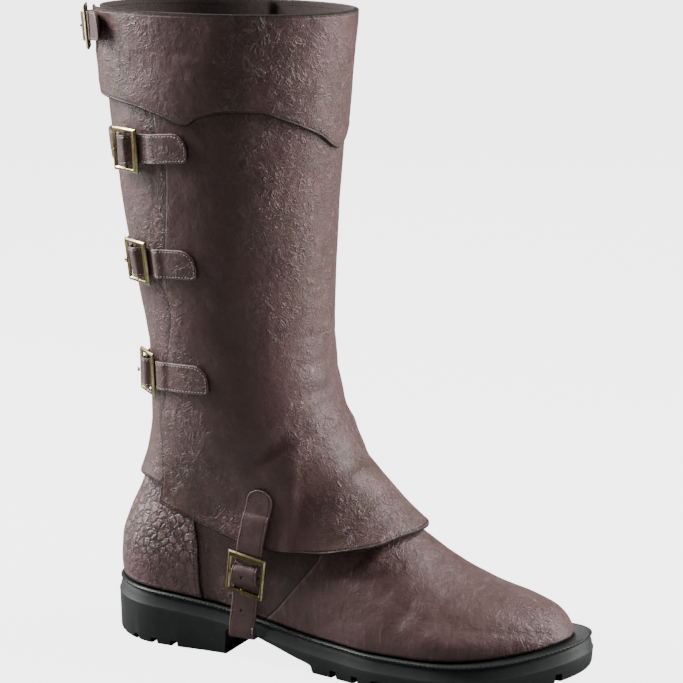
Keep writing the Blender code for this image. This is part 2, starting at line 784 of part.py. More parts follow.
def buckle(name, length, height, basis, centre, parent):
    # A rectangular frame with a middle bar and a wide front bar: X along the strap, Y across it, Z outwards.
    xs = (-length / 2, -length / 2 + buckle_bar, -buckle_bar / 2, buckle_bar / 2, length / 2 - buckle_front_bar, length / 2)
    ys = (-height / 2, -height / 2 + buckle_bar, height / 2 - buckle_bar, height / 2)
    filled = {(i, j) for i in range(5) for j in range(3)} - {(1, 1), (3, 1)}
    verts = [basis @ Vector((x, y, z * buckle_thickness)) + centre for z in (0, 1) for x in xs for y in ys]
    index = lambda level, i, j: level * 24 + i * 4 + j
    faces = []
    for i, j in sorted(filled):
        corners = ((i, j), (i + 1, j), (i + 1, j + 1), (i, j + 1))
        faces.append(tuple(index(1, *c) for c in corners))
        faces.append(tuple(index(0, *c) for c in reversed(corners)))
        for (di, dj), a, b in (((0, -1), 0, 1), ((1, 0), 1, 2), ((0, 1), 2, 3), ((-1, 0), 3, 0)):
            if (i + di, j + dj) not in filled:
                faces.append((index(0, *corners[a]), index(0, *corners[b]), index(1, *corners[b]), index(1, *corners[a])))
    return add_object(name, verts, faces, brass, parent, smooth=20)


def hump(distance, crown, reach):
    return 1 - ease(crown, reach, np.abs(distance))


strap_gap = 2 * fit_gap
frame_seat = strap_gap + tab_thickness + fit_gap + strap_thickness + fit_gap
frame_drop = 0.0003
hump_rise = frame_seat - frame_drop + buckle_thickness + fit_gap - strap_gap
# clear of the rear bar, and of the wider bar on the tip's side
rear_reach, front_reach = [buckle_length / 2 - bar - 0.0008 for bar in (buckle_bar, buckle_front_bar)]
strap_root = 0.36
# buckle's turn and height, tip's turn and height (shares of the shaft), step onto the panel or the cuff, what it climbs
strap_table = (
    ("1", -0.120, 0.957, -0.275, 0.966, -0.090, cuff_in + cuff_thickness),
    ("2", -0.314, 0.713, -0.524, 0.728, -0.430, panel_out),
    ("3", -0.296, 0.479, -0.529, 0.486, -0.400, panel_out),
    ("4", -0.235, 0.235, -0.525, 0.243, -0.328, panel_out),
)
# along the rounded tip (share of its length), upper edge's share of the half width
tip_shape = ((0.0, 1.0), (0.29, 0.97), (0.61, 0.80), (0.86, 0.45), (1.0, -0.15))


def turn_length(z, turn):
    step = gaiter_level(np.array([turn + 0.004]), np.array([z])) - gaiter_level(np.array([turn - 0.004]), np.array([z]))
    return float(np.linalg.norm(step)) / 0.008


for label, buckle_turn, buckle_rise, tip_turn, tip_rise, step_turn, climb in strap_table:
    buckle_z = hem_back_z + buckle_rise * (shaft_top - hem_back_z)
    tip_z_here = hem_back_z + tip_rise * (shaft_top - hem_back_z)
    per_turn = turn_length(buckle_z, buckle_turn)
    per_tip = turn_length(tip_z_here, tip_turn)
    near = [buckle_turn + k * rear_reach / per_turn for k in (1.65, 1.0, 0.62, 0.24)]
    near += [buckle_turn - k * front_reach / per_turn for k in (0.24, 0.62, 1.0, 1.65)]
    back_run = list(np.linspace(strap_root, near[0] + 0.035, 9))
    tip_start = tip_turn + tip_length / per_tip + 0.02
    front_run = list(np.linspace(near[-1] - 0.03, tip_start, 4)) if tip_start < near[-1] - 0.04 else []
    tip_run = [tip_turn + (1 - run) * tip_length / per_tip for run, _ in tip_shape]
    turns_here = np.array(back_run + near + front_run + tip_run)
    upper_half = np.full(len(turns_here), strap_width / 2)
    upper_half[-len(tip_shape):] = [strap_width / 2 * share for _, share in tip_shape]
    lower_half = np.full(len(turns_here), strap_width / 2)
    tilt = np.clip((buckle_turn - turns_here) / (buckle_turn - tip_turn), 0, 1)
    middle = buckle_z + (tip_z_here - buckle_z) * tilt
    climbed = climb * ease(step_turn + 0.035, step_turn + 0.005, turns_here)
    tab_end = buckle_turn - 0.017 / per_turn
    over_tab = (tab_thickness + 1.2 * fit_gap) * ease(buckle_turn + 0.004 / per_turn, buckle_turn - 0.004 / per_turn, turns_here)
    over_tab = over_tab * ease(tab_end - 0.006 / per_turn, tab_end - 0.001 / per_turn, turns_here)
    past = (turns_here - buckle_turn) * per_turn
    bulge = hump(past, 0.85 * buckle_bar, np.where(past > 0, rear_reach, front_reach))
    rise_here = strap_gap + climbed + np.maximum(over_tab, hump_rise * bulge)
    if label == "1":
        rise_here = rise_here + tip_flare * ease(tip_turn + 0.07, tip_turn, turns_here)
    rows_z = np.linspace(0, 1, 3)
    grid_turn = np.repeat(turns_here[:, None], 3, axis=1)
    grid_z = (middle - lower_half)[:, None] + (upper_half + lower_half)[:, None] * rows_z[None, :]
    points, normals = with_normals(gaiter_level, grid_turn, grid_z, limits=(0.0, shaft_top), step=(0.004, 0.002))
    shell("strap_" + label, points, normals, rise_here[:, None] + strap_thickness, rise_here[:, None], leather, parent=boot)

    seat = climb if buckle_turn < step_turn else 0.0
    basis, centre = placed_frame(gaiter_level, buckle_turn, buckle_z, seat + frame_seat - frame_drop, limits=(0.0, shaft_top))
    buckle("buckle_" + label, buckle_length, buckle_height, basis, centre, boot)

    prong_top = strap_gap + hump_rise + strap_thickness + seat
    path = [(-0.0022, 0, 0.0056), (-0.0062, 0, 0.0040), (-buckle_length / 2 + 0.0002, 0, buckle_thickness + fit_gap + prong_width / 2)]
    path = [basis @ Vector(point) + centre for point in path]
    rod("prong_" + label, path, (prong_width / 2, prong_width / 2, prong_width / 2.6), brass, boot)

    tab_turns = np.linspace(buckle_turn + 0.003 / per_turn, tab_end, 6)
    tab_climb = climb * ease(step_turn + 0.035, step_turn + 0.005, tab_turns)
    grid_turn, grid_z = np.meshgrid(tab_turns, buckle_z + np.array([-0.5, 0.5]) * tab_width, indexing="ij")
    points, normals = with_normals(gaiter_level, grid_turn, grid_z, limits=(0.0, shaft_top), step=(0.004, 0.002))
    tab_low = 0.0004 + tab_climb[:, None]
    shell("tab_" + label, points, normals, tab_low + tab_thickness, tab_low, leather, parent=boot)


# Stirrup: from the inner side of the gaiter, under the arch, up through its buckle and onto the outer side.
stirrup_low_x, stirrup_lean = 0.0580, 0.185
stirrup_tip_z, stirrup_end_z = 0.1085, 0.0960
stirrup_buckle_z = 0.0560
stirrup_tab_top = 0.0900
corner_round = 0.0008
lateral_edge, medial_edge = outline(0.0, 400)


def stirrup_x(z):
    return stirrup_low_x + stirrup_lean * np.maximum(np.asarray(z, float) - 0.020, 0)


def sole_side(x, side):
    edge = medial_edge if side > 0 else lateral_edge
    reach = [np.interp(x + dx, edge[:, 0], np.abs(edge[:, 1])) for dx in (-0.5 * stirrup_width, 0.5 * stirrup_width)]
    return np.max(reach, axis=0)


def panel_side(z, side):
    x = stirrup_x(z)
    spread = [np.abs(gaiter_at(x + dx, z, float(side))) for dx in (-0.5 * stirrup_width, 0, 0.5 * stirrup_width)]
    return np.max(spread, axis=0) + panel_out + 0.0004


def arch_underside(x):
    return breast_height * float(curve(arch_rows, 1, (x - breast_x) / (arch_end_x - breast_x)))


under_x = stirrup_low_x
side_z = np.array([0.030, 0.0255, 0.0215])
under_z = min(arch_underside(under_x + dx) for dx in (-0.5 * stirrup_width, 0.5 * stirrup_width)) - strap_gap
hem_z = 0.0760


def run_out(z, side):
    # Distance out from the middle plane of the strap's inner face.
    near_sole = sole_side(stirrup_x(z), side) + strap_gap
    on_panel = panel_side(np.maximum(z, hem_z), side) + strap_gap
    share = np.clip((z - 0.028) / (hem_z - 0.028), 0, 1)
    return near_sole * (1 - share) + on_panel * share


half_frame = stirrup_buckle_height / 2 - buckle_bar / 2
frame_top_z, frame_low_z = stirrup_buckle_z + half_frame, stirrup_buckle_z - half_frame
tab_room = tab_thickness + fit_gap
plane_top = float(run_out(np.array(frame_top_z), -1)) + tab_room + strap_thickness + 2 * fit_gap
plane_low = float(run_out(np.array(frame_low_z), -1)) + strap_thickness + 2 * fit_gap
plane_middle = 0.5 * (plane_top + plane_low)
stirrup_hump = plane_middle + buckle_thickness + 2 * fit_gap - float(run_out(np.array(stirrup_buckle_z), -1))
stirrup_reach = stirrup_buckle_height / 2 - buckle_front_bar - 0.0008

tip_run = [stirrup_tip_z - drop for drop in (0.0, 0.0012, 0.0038, 0.0072)]
down_z = np.array(
    tip_run
    + list(np.linspace(stirrup_tip_z - 0.0135, hem_z, 4)) + [frame_top_z + 0.001]
    + [stirrup_buckle_z + k * stirrup_reach for k in (1.0, 0.62, 0.24, -0.24, -0.62, -1.0)]
    + [frame_low_z - 0.001, 0.0365]
    + list(side_z)
)
out_here = run_out(down_z, -1)
tab_here = tab_room * ease(stirrup_tab_top + 0.004, stirrup_tab_top, down_z) * ease(stirrup_buckle_z - 0.004, stirrup_buckle_z + 0.004, down_z)
bump = stirrup_hump * hump(down_z - stirrup_buckle_z, 0.7 * buckle_bar, stirrup_reach)
out_here = out_here + np.maximum(tab_here, bump)
lateral_run = np.stack([stirrup_x(down_z), -out_here, down_z], axis=1)
medial_z = np.array([stirrup_end_z, 0.0860, hem_z, 0.0600, 0.0450, *side_z])
medial_run = np.stack([stirrup_x(medial_z), run_out(medial_z, 1), medial_z], axis=1)[::-1]


def corner(side, down):
    # A rounded turn of the strap under the sole's edge.
    edge = float(run_out(np.array(0.0215), side))
    places = []
    for angle in (0, 90):
        a = math.radians(angle)
        places.append((under_x, side * (edge - corner_round * (1 - math.cos(a))), under_z + corner_round * (1 - math.sin(a))))
    places.append((under_x, side * (edge - corner_round - 0.006), under_z))
    return places if down else places[::-1]


stirrup_line = np.concatenate([lateral_run, corner(-1, True), [(under_x, 0, under_z)], corner(1, False), medial_run])
runs = np.gradient(stirrup_line, axis=0)
runs /= np.linalg.norm(runs, axis=1, keepdims=True)
across = np.array([1.0, 0, 0]) - runs * runs[:, :1]
across /= np.linalg.norm(across, axis=1, keepdims=True)
outward = np.cross(runs, across)
halves = np.full((len(stirrup_line), 2), stirrup_width / 2)
halves[:4, 0] = np.array([0.18, 0.52, 0.86, 1.0]) * stirrup_width / 2
halves[:4, 1] = np.array([0.18, 0.52, 0.86, 1.0]) * stirrup_width / 2
ribbon("stirrup_strap", stirrup_line, outward, across, halves, strap_thickness, leather, boot)

frame_up = Vector((stirrup_lean * 2 * half_frame, plane_low - plane_top, 2 * half_frame)).normalized()
frame_out = Vector((0, -1, 0))
frame_out = (frame_out - frame_up * frame_out.dot(frame_up)).normalized()
basis = Matrix((frame_up, frame_out.cross(frame_up), frame_out)).transposed()
middle = Vector((float(stirrup_x(stirrup_buckle_z)), -plane_middle, stirrup_buckle_z))
buckle("stirrup_buckle", stirrup_buckle_height, stirrup_buckle_width, basis, middle, boot)
crown = buckle_thickness + 3 * fit_gap + strap_thickness + prong_width / 2
path = [(-0.0022, 0, crown), (-0.0070, 0, 0.8 * crown), (-stirrup_buckle_height / 2 + 0.0002, 0, buckle_thickness + fit_gap + prong_width / 2)]
rod("stirrup_prong", [basis @ Vector(p) + middle for p in path], (prong_width / 2, prong_width / 2, prong_width / 2.6), brass, boot)

tab_z = np.array([stirrup_tab_top, 0.0830, hem_z, frame_top_z, stirrup_buckle_z + 0.0045, stirrup_buckle_z - 0.0025])
tab_line = np.stack([stirrup_x(tab_z), -(run_out(tab_z, -1) - 0.0003), tab_z], axis=1)
runs = np.gradient(tab_line, axis=0)
runs /= np.linalg.norm(runs, axis=1, keepdims=True)
across = np.array([1.0, 0, 0]) - runs * runs[:, :1]
across /= np.linalg.norm(across, axis=1, keepdims=True)
ribbon("stirrup_tab", tab_line, np.cross(runs, across), across, np.full(len(tab_z), tab_width / 2), tab_thickness, leather, boot)
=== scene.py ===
import math

import bmesh
import bpy
import numpy as np
from mathutils import Matrix, Vector


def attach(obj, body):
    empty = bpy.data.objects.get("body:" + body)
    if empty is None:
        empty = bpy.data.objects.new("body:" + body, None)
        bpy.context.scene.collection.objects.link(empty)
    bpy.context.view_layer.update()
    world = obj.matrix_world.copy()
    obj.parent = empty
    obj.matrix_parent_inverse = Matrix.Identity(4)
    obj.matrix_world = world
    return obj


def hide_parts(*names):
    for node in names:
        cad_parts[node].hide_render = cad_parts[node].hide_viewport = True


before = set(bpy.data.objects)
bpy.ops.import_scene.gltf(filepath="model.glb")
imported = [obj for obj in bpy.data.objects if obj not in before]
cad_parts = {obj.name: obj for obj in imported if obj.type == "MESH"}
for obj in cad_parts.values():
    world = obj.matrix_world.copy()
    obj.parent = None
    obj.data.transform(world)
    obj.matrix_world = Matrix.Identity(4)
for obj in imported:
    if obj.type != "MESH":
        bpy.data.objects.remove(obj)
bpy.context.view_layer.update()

print("frame loaded")

# Metres; +X to the toe, +Y to the inner side, +Z up. The shapes follow the solids' own curves
gap = 0.0003
overlayGap = 0.0006
turnStep, riseStep, levelStep = 0.004, 0.004, 0.002  # steps for a surface's slopes
farAway = 9.0  # further than any point

sole = {
    "length": 0.307, "heelWidth": 0.079, "waistWidth": 0.075, "ballWidth": 0.108, "heelBlock": 0.090,
    "heelHeight": 0.0345, "foreHeight": 0.0205, "toeLift": 0.0118, "overhang": 0.0046, "toeReach": 0.9603,
    "rim": 0.0022, "band": 0.0070, "breast": 0.0175,
}
heelBack = -sole["heelBlock"] / 2


def hermite(s):
    return 2 * s**3 - 3 * s**2 + 1, s**3 - 2 * s**2 + s, 3 * s**2 - 2 * s**3, s**3 - s**2


def smoothRows(rows, index, at):  # a smooth curve through a table's column
    places = np.array([row[0] for row in rows], float)
    values = np.array([row[index] for row in rows], float)
    steps = np.diff(places)
    slopes = np.diff(values) / steps
    tangents = np.zeros_like(values)
    tangents[0], tangents[-1] = slopes[0], slopes[-1]
    before, after = slopes[:-1], slopes[1:]
    same = before * after > 0
    tangents[1:-1] = np.where(same, 2 * before * after / np.where(same, before + after, 1.0), 0.0)
    at = np.clip(np.asarray(at, float), places[0], places[-1])
    cell = np.clip(np.searchsorted(places, at, side="right") - 1, 0, len(steps) - 1)
    width = steps[cell]
    first, leave, second, arrive = hermite((at - places[cell]) / width)
    low = values[cell] * first + tangents[cell] * width * leave
    return low + values[cell + 1] * second + tangents[cell + 1] * width * arrive


def lengthOf(vectors):
    return np.linalg.norm(vectors, axis=-1)


def ease(start, end, at):
    share = np.clip((np.asarray(at, float) - start) / (end - start), 0, 1)
    return share * share * (3 - 2 * share)


def rounding(share, powerIn, powerOut):
    return np.power(np.clip(1 - np.power(np.clip(share, 0, 1), powerIn), 0, 1), 1 / powerOut)


# along the sole, outer half width, inner half width
planRows = [(along, outer * sole[width], inner * sole[width]) for along, width, outer, inner in (
    (0.00, "heelWidth", 0.47, 0.47), (0.14, "heelWidth", 0.50, 0.50), (0.28, "waistWidth", 0.50, 0.47),
    (0.42, "waistWidth", 0.56, 0.45), (0.54, "ballWidth", 0.445, 0.37), (0.64, "ballWidth", 0.495, 0.435),
    (0.74, "ballWidth", 0.500, 0.480), (0.84, "ballWidth", 0.470, 0.495), (0.92, "ballWidth", 0.425, 0.490),
    (1.00, "ballWidth", 0.385, 0.480),
)]
toeCentre = 0.5 * (planRows[-1][2] - planRows[-1][1])
heelRound, toeFrom = 0.135, 0.76


def planHalf(share, side, inset):
    share = np.clip(np.asarray(share, float), 0, 1)
    half = np.where(np.asarray(side) > 0, smoothRows(planRows, 2, share), smoothRows(planRows, 1, share)) - inset
    swing = toeCentre * ease(0.5, 1.0, share)
    own = half - np.asarray(side) * swing
    own = own * np.where(share < heelRound, rounding(1 - share / heelRound, 2.15, 2.0), 1)
    return own * np.where(share > toeFrom, rounding((share - toeFrom) / (1 - toeFrom), 2.15, 2.05), 1), swing


# along the sole, share of the height at the heel or at the toe
topRows = (
    (0.0, 1.10), (0.07, 1.05), (0.16, 0.95), (0.26, 0.74), (0.38, 0.38), (0.52, 0.08), (0.64, 0.0),
    (0.80, 0.0), (1.0, 0.0),
)
springRows = ((0.0, 0.0), (0.68, 0.0), (0.78, 0.07), (0.87, 0.29), (0.94, 0.62), (1.0, 1.0))


def alongOf(x):
    return (np.asarray(x, float) - heelBack) / sole["length"]


def feather(x):
    share = np.clip(alongOf(x), 0, 1)
    low = sole["foreHeight"] + (sole["heelHeight"] - sole["foreHeight"]) * smoothRows(topRows, 1, share)
    return low + sole["toeLift"] * smoothRows(springRows, 1, share)


def tread(x):
    return sole["toeLift"] * smoothRows(springRows, 1, np.clip(alongOf(x), 0, 1))


upper = {"wall": 0.0022, "height": 0.114, "ankle": 0.069, "collar": 0.077, "toeTaper": 0.020, "climb": 1.3}
# rise, share of the sole's length, share of the height
backRows = (
    (0.00, 0.000, 0.00), (0.10, -0.004, 0.09), (0.22, 0.000, 0.22), (0.36, 0.019, 0.37),
    (0.50, 0.041, 0.51), (0.64, 0.058, 0.64), (0.80, 0.074, 0.80), (1.00, 0.088, 1.00),
)
frontRows = (
    (0.00, 0.9603, 0.000), (0.05, 0.9560, 0.038), (0.11, 0.9480, 0.076), (0.18, 0.9380, 0.113),
    (0.26, 0.9160, 0.163), (0.36, 0.8540, 0.229), (0.45, 0.7820, 0.289), (0.53, 0.7180, 0.368),
    (0.61, 0.6550, 0.468), (0.69, 0.5900, 0.575), (0.78, 0.5250, 0.705), (0.86, 0.4750, 0.805),
    (0.93, 0.4380, 0.905), (1.00, 0.4250, 1.000),
)
# level, share of the ankle's width, share of the collar's width
legRows = ((0.0, 0.56, 0.0), (0.35, 0.52, 0.0), (0.62, 0.50, 0.0), (0.82, 0.24, 0.26), (1.0, 0.0, 0.50))
# along the sole, the cross-section's two powers
sectionRows = (
    (0.0, 2.2, 2.0), (0.45, 1.9, 1.6), (0.62, 1.95, 1.7), (0.80, 2.05, 1.8), (0.93, 2.1, 1.9), (1.0, 2.1, 1.9),
)

seatX = heelBack + sole["overhang"]
seatZ = float(feather(seatX))
toeX = heelBack + sole["toeReach"] * sole["length"]
collarZ = seatZ + upper["height"]
dense = np.linspace(0, 1, 241)


def upperBack(rise):
    x = seatX + sole["length"] * smoothRows(backRows, 1, rise)
    return x, seatZ + upper["height"] * smoothRows(backRows, 2, rise)


def upperFront(rise):
    x = np.minimum(heelBack + sole["length"] * smoothRows(frontRows, 1, rise), toeX)
    low = feather(x)
    return x, low + (collarZ - low) * smoothRows(frontRows, 2, rise)


upperBackLine = upperBack(dense)
upperFrontLine = upperFront(dense)


def ridgeHeight(line, x, climb):
    rearmost = int(np.argmin(line[0])) + 1
    xs, zs = line[0][:rearmost][::-1], line[1][:rearmost][::-1]
    return np.interp(x, xs, zs) + np.maximum(xs[0] - np.asarray(x, float), 0) * climb


def atHeight(line, z):
    return np.interp(z, line[1], line[0])


def footHalf(x, z, side, backLine, frontLine, extra, climb):
    back = atHeight(backLine, z)
    own, swing = planHalf((x - back) / (toeX - back), side, sole["overhang"])
    low = feather(x)
    above = np.maximum(ridgeHeight(frontLine, x, climb) - low, 0.0005)
    reach = np.clip((z - low) / above, 0, 1)
    bulge = 1 + 0.035 * np.sin(math.pi * np.clip(reach * 2.0, 0, 1))
    half = (own * bulge + extra * np.minimum(own / upper["toeTaper"], 1))
    return half * rounding(reach, smoothRows(sectionRows, 1, alongOf(x)), smoothRows(sectionRows, 2, alongOf(x))), swing


def legHalf(x, z, backLine, frontLine, half, power):
    back, front = atHeight(backLine, z), atHeight(frontLine, z)
    return half * rounding(np.abs((x - 0.5 * (back + front)) / (0.5 * (front - back))), power, power)


def upperAt(x, z, side):
    low, swing = footHalf(x, z, side, upperBackLine, upperFrontLine, 0.0, upper["climb"])
    level = np.clip((z - seatZ) / upper["height"], 0, 1)
    half = smoothRows(legRows, 1, level) * upper["ankle"] + smoothRows(legRows, 2, level) * upper["collar"]
    leg = legHalf(x, z, upperBackLine, upperFrontLine, half, 2.15)
    mix = ease(0.16, 0.74, level)
    return side * (low * (1 - mix) + leg * mix) + swing * (1 - mix)


def ringShare(turn):
    return (1 - np.cos(math.pi * np.abs(turn))) / 2


def upperSurface(turn, rise):  # turn 0 at the back, -1 and 1 at the front; rise 0 at the sole
    share, side = ringShare(turn), np.where(turn < 0, -1.0, 1.0)
    backX, backZ = upperBack(rise)
    frontX, frontZ = upperFront(rise)
    x = backX + share * (frontX - backX)
    z = backZ + share * (frontZ - backZ)
    lowX = seatX + share * (toeX - seatX)
    z = z + (feather(lowX) - seatZ - share * (feather(toeX) - seatZ)) * (1 - rise) ** 2
    return np.stack([x, upperAt(x, z, side), z], axis=-1)


gaiter = {
    "wall": 0.0016, "top": 0.386, "topLength": 0.1585, "ankleLength": 0.1095, "topWidth": 0.108, "ankleWidth": 0.096,
    "clear": 0.0035, "flare": 0.0045, "drop": 0.0203, "reach": 0.055, "climb": 4.0, "backX": -0.0185, "hemBack": 0.104,
    "seam": 0.46,
}
# rise, out, up
gaiterBackRows = (
    (0.00, -0.155, 0.000), (0.07, -0.060, 0.060), (0.15, 0.000, 0.140), (0.27, 0.000, 0.260),
    (0.42, 0.130, 0.400), (0.60, 0.330, 0.570), (0.80, 0.510, 0.780), (1.00, 0.640, 1.000),
)
# rise, towards the tip, up, out
gaiterFrontRows = (
    (0.00, 1.000, 0.000, 0.0), (0.05, 0.830, 0.032, 0.0), (0.11, 0.600, 0.080, 0.0), (0.18, 0.370, 0.137, 0.0),
    (0.26, 0.170, 0.206, 0.0), (0.35, 0.060, 0.290, 0.0), (0.46, 0.005, 0.400, 0.02), (0.62, 0.000, 0.560, 0.065),
    (0.80, 0.000, 0.770, 0.170), (1.00, 0.000, 1.000, 0.31),
)
# share of the way round, drop of the hem
hemRows = (
    (0.00, 0.00), (0.09, 0.22), (0.17, 0.45), (0.30, 0.72), (0.38, 0.89), (0.46, 1.00), (0.57, 0.97),
    (0.65, 0.89), (0.74, 0.77), (0.83, 0.54), (0.92, 0.29), (0.97, 0.07), (1.00, 0.00),
)
# level, share of the ankle's width, share of the top's width
shaftRows = ((0.0, 0.50, 0.0), (0.25, 0.50, 0.0), (0.50, 0.28, 0.23), (0.75, 0.10, 0.41), (1.0, 0.0, 0.50))
# rise, turn of the front panel's rear edge
edgeRows = (
    (0.00, -0.270), (0.165, -0.268), (0.24, -0.317), (0.35, -0.365), (0.455, -0.412),
    (0.495, -0.395), (0.60, -0.429), (0.727, -0.449), (0.80, -0.420), (1.00, -0.400),
)
farSeam = gaiter["seam"] - 2  # the inner seam, reached round the front
shinX = gaiter["backX"] + gaiter["ankleLength"]
tipX = heelBack + 0.662 * sole["length"]
tipZ = float(ridgeHeight(upperFrontLine, tipX, upper["climb"])) + gaiter["clear"]
calf = gaiter["topLength"] - gaiter["ankleLength"]


def gaiterBack(rise):
    share = smoothRows(gaiterBackRows, 1, rise)
    x = gaiter["backX"] - calf * np.maximum(share, 0) + gaiter["reach"] * np.minimum(share, 0)
    return x, gaiter["hemBack"] + (gaiter["top"] - gaiter["hemBack"]) * smoothRows(gaiterBackRows, 2, rise)


def gaiterFront(rise):
    x = shinX + (tipX - shinX) * smoothRows(gaiterFrontRows, 1, rise) + calf * smoothRows(gaiterFrontRows, 3, rise)
    return x, tipZ + (gaiter["top"] - tipZ) * smoothRows(gaiterFrontRows, 2, rise)


gaiterBackLine = gaiterBack(dense)
gaiterFrontLine = gaiterFront(dense)


def gaiterAt(x, z, side):
    overFoot = (z - seatZ) / upper["height"]
    flare = gaiter["clear"] + gaiter["flare"] * (1 - ease(0.30, 0.83, overFoot))
    low, swing = footHalf(x, z, side, gaiterBackLine, gaiterFrontLine, flare, gaiter["climb"])
    level = np.clip((z - gaiter["hemBack"]) / (gaiter["top"] - gaiter["hemBack"]), 0, 1)
    half = smoothRows(shaftRows, 1, level) * gaiter["ankleWidth"] + smoothRows(shaftRows, 2, level) * gaiter["topWidth"]
    leg = legHalf(x, z, gaiterBackLine, gaiterFrontLine, half, 2.1)
    mix = ease(0.37, 1.0, overFoot)
    return side * (low * (1 - mix) + leg * mix) + swing * (1 - mix)


def gaiterSurface(turn, rise):
    share, side = ringShare(turn), np.where(turn < 0, -1.0, 1.0)
    backX, backZ = gaiterBack(rise)
    frontX, frontZ = gaiterFront(rise)
    x = backX + share * (frontX - backX)
    z = backZ + share * (frontZ - backZ) - gaiter["drop"] * smoothRows(hemRows, 1, share) * (1 - rise) ** 3
    return np.stack([x, gaiterAt(x, z, side), z], axis=-1)


def gaiterLevel(turn, z):  # the same surface by height
    share, side = ringShare(turn), np.where(turn < 0, -1.0, 1.0)
    back, front = atHeight(gaiterBackLine, z), atHeight(gaiterFrontLine, z)
    x = back + share * (front - back)
    return np.stack([x, gaiterAt(x, z, side), z + 0 * x], axis=-1)


def withNormals(surface, first, second, step=(turnStep, riseStep), limits=(0.0, 1.0)):
    first, second = np.broadcast_arrays(np.asarray(first, float), np.asarray(second, float))
    points = surface(first, second)
    low, high = np.maximum(second - step[1], limits[0]), np.minimum(second + step[1], limits[1])
    across = surface(first + step[0], second) - surface(first - step[0], second)
    for past, sign in ((first + step[0] > 1, -1), (first - step[0] < -1, 1)):
        where = np.where(past)
        across[where] = ((surface(first + sign * step[0], second) - points) * sign * np.array([0, 1, 0]))[where]
    normals = np.cross(surface(first, high) - surface(first, low), across)
    return points, normals / np.maximum(np.linalg.norm(normals, axis=-1, keepdims=True), 1e-12)


def levelPoints(turn, z):
    return withNormals(gaiterLevel, turn, z, (turnStep, levelStep), (0.0, gaiter["top"]))


def wrapTurn(turn):
    return np.where(turn < -1, turn + 2, turn)


def panelEdge(rise):
    return smoothRows(edgeRows, 1, rise)


def rearHem(turn):  # the rise at which the rear panel starts
    return 0.004 + 0.032 * ease(0.0, 0.15, ringShare(turn))


# Shader helpers: a wrapped socket for sums, and one maker for the other nodes
class Sock:
    def __init__(self, look, socket):
        self.look, self.socket = look, socket

    def sum(self, operation, first, second):
        return self.look.node("ShaderNodeMath", {"operation": operation}, {0: first, 1: second})[0]

    def __add__(self, other): return self.sum("ADD", self, other)
    def __radd__(self, other): return self.sum("ADD", other, self)
    def __sub__(self, other): return self.sum("SUBTRACT", self, other)
    def __rsub__(self, other): return self.sum("SUBTRACT", other, self)
    def __mul__(self, other): return self.sum("MULTIPLY", self, other)
    def __rmul__(self, other): return self.sum("MULTIPLY", other, self)
    def __truediv__(self, other): return self.sum("DIVIDE", self, other)
    def __pow__(self, other): return self.sum("POWER", self, other)


class Look:
    def __init__(self, name, roughness=0.5, metallic=0.0, colour=(0.5, 0.5, 0.5)):
        self.material = bpy.data.materials.new(name)
        self.material.use_nodes = True
        self.tree = self.material.node_tree
        self.shader = self.tree.nodes["Principled BSDF"]
        self.shader.inputs["Roughness"].default_value = roughness
        self.shader.inputs["Metallic"].default_value = metallic
        self.shader.inputs["Base Color"].default_value = (*colour, 1)
        self.material.diffuse_color = (*colour, 1)

    def node(self, kind, settings=None, sockets=None):
        made = self.tree.nodes.new(kind)
        for key, value in (settings or {}).items():
            setattr(made, key, value)
        for key, value in (sockets or {}).items():
            if isinstance(value, Sock):
                self.tree.links.new(value.socket, made.inputs[key])
            else:
                made.inputs[key].default_value = value
        return [Sock(self, socket) for socket in made.outputs]

    def place(self):
        return self.node("ShaderNodeTexCoord")[3]  # object coordinates

    def attribute(self, name):
        return self.node("ShaderNodeAttribute", {"attribute_type": "GEOMETRY", "attribute_name": name})[2]

    def noise(self, where, scale, detail=3.0, rough=0.55, twist=0.0):
        sockets = {"Vector": where, "Scale": scale, "Detail": detail, "Roughness": rough, "Distortion": twist}
        return self.node("ShaderNodeTexNoise", None, sockets)

    def cells(self, where, scale):  # the distance to the nearest cell's edge
        return self.node("ShaderNodeTexVoronoi", {"feature": "DISTANCE_TO_EDGE"}, {"Vector": where, "Scale": scale})[0]

    def wave(self, where, scale, twist=0.0):
        sockets = {"Vector": where, "Scale": scale, "Distortion": twist}
        return self.node("ShaderNodeTexWave", {"bands_direction": "Z"}, sockets)[1]

    def band(self, value, low, high, start=0.0, end=1.0):
        sockets = {0: value, 1: low, 2: high, 3: start, 4: end}
        return self.node("ShaderNodeMapRange", {"interpolation_type": "SMOOTHSTEP"}, sockets)[0]

    def mix(self, share, first, second):
        return self.node("ShaderNodeMix", {"data_type": "RGBA"}, {0: share, 6: first, 7: second})[2]

    def vector(self, operation, *sockets):
        return self.node("ShaderNodeVectorMath", {"operation": operation}, dict(enumerate(sockets)))[0]

    def shift(self, where, colour, amount):
        moved = self.vector("SUBTRACT", colour, (0.5, 0.5, 0.5))
        return self.vector("MULTIPLY_ADD", moved, (amount,) * 3, where)

    def stretch(self, where, scale):
        return self.vector("MULTIPLY", where, scale)

    def finish(self, colour=None, roughness=None, height=None, strength=1.0):
        # height in millimetres
        if colour is not None:
            self.tree.links.new(colour.socket, self.shader.inputs["Base Color"])
        if roughness is not None:
            self.tree.links.new(roughness.socket, self.shader.inputs["Roughness"])
        if height is not None:
            bump = self.node("ShaderNodeBump", None, {"Strength": strength, "Distance": 0.001, "Height": height})[0]
            self.tree.links.new(bump.socket, self.shader.inputs["Normal"])
        return self.material


def tint(r, g, b):  # a screen colour, 0 to 255, as a linear one
    return tuple((c / 255 / 12.92) if c <= 10 else ((c / 255 + 0.055) / 1.055) ** 2.4 for c in (r, g, b)) + (1,)


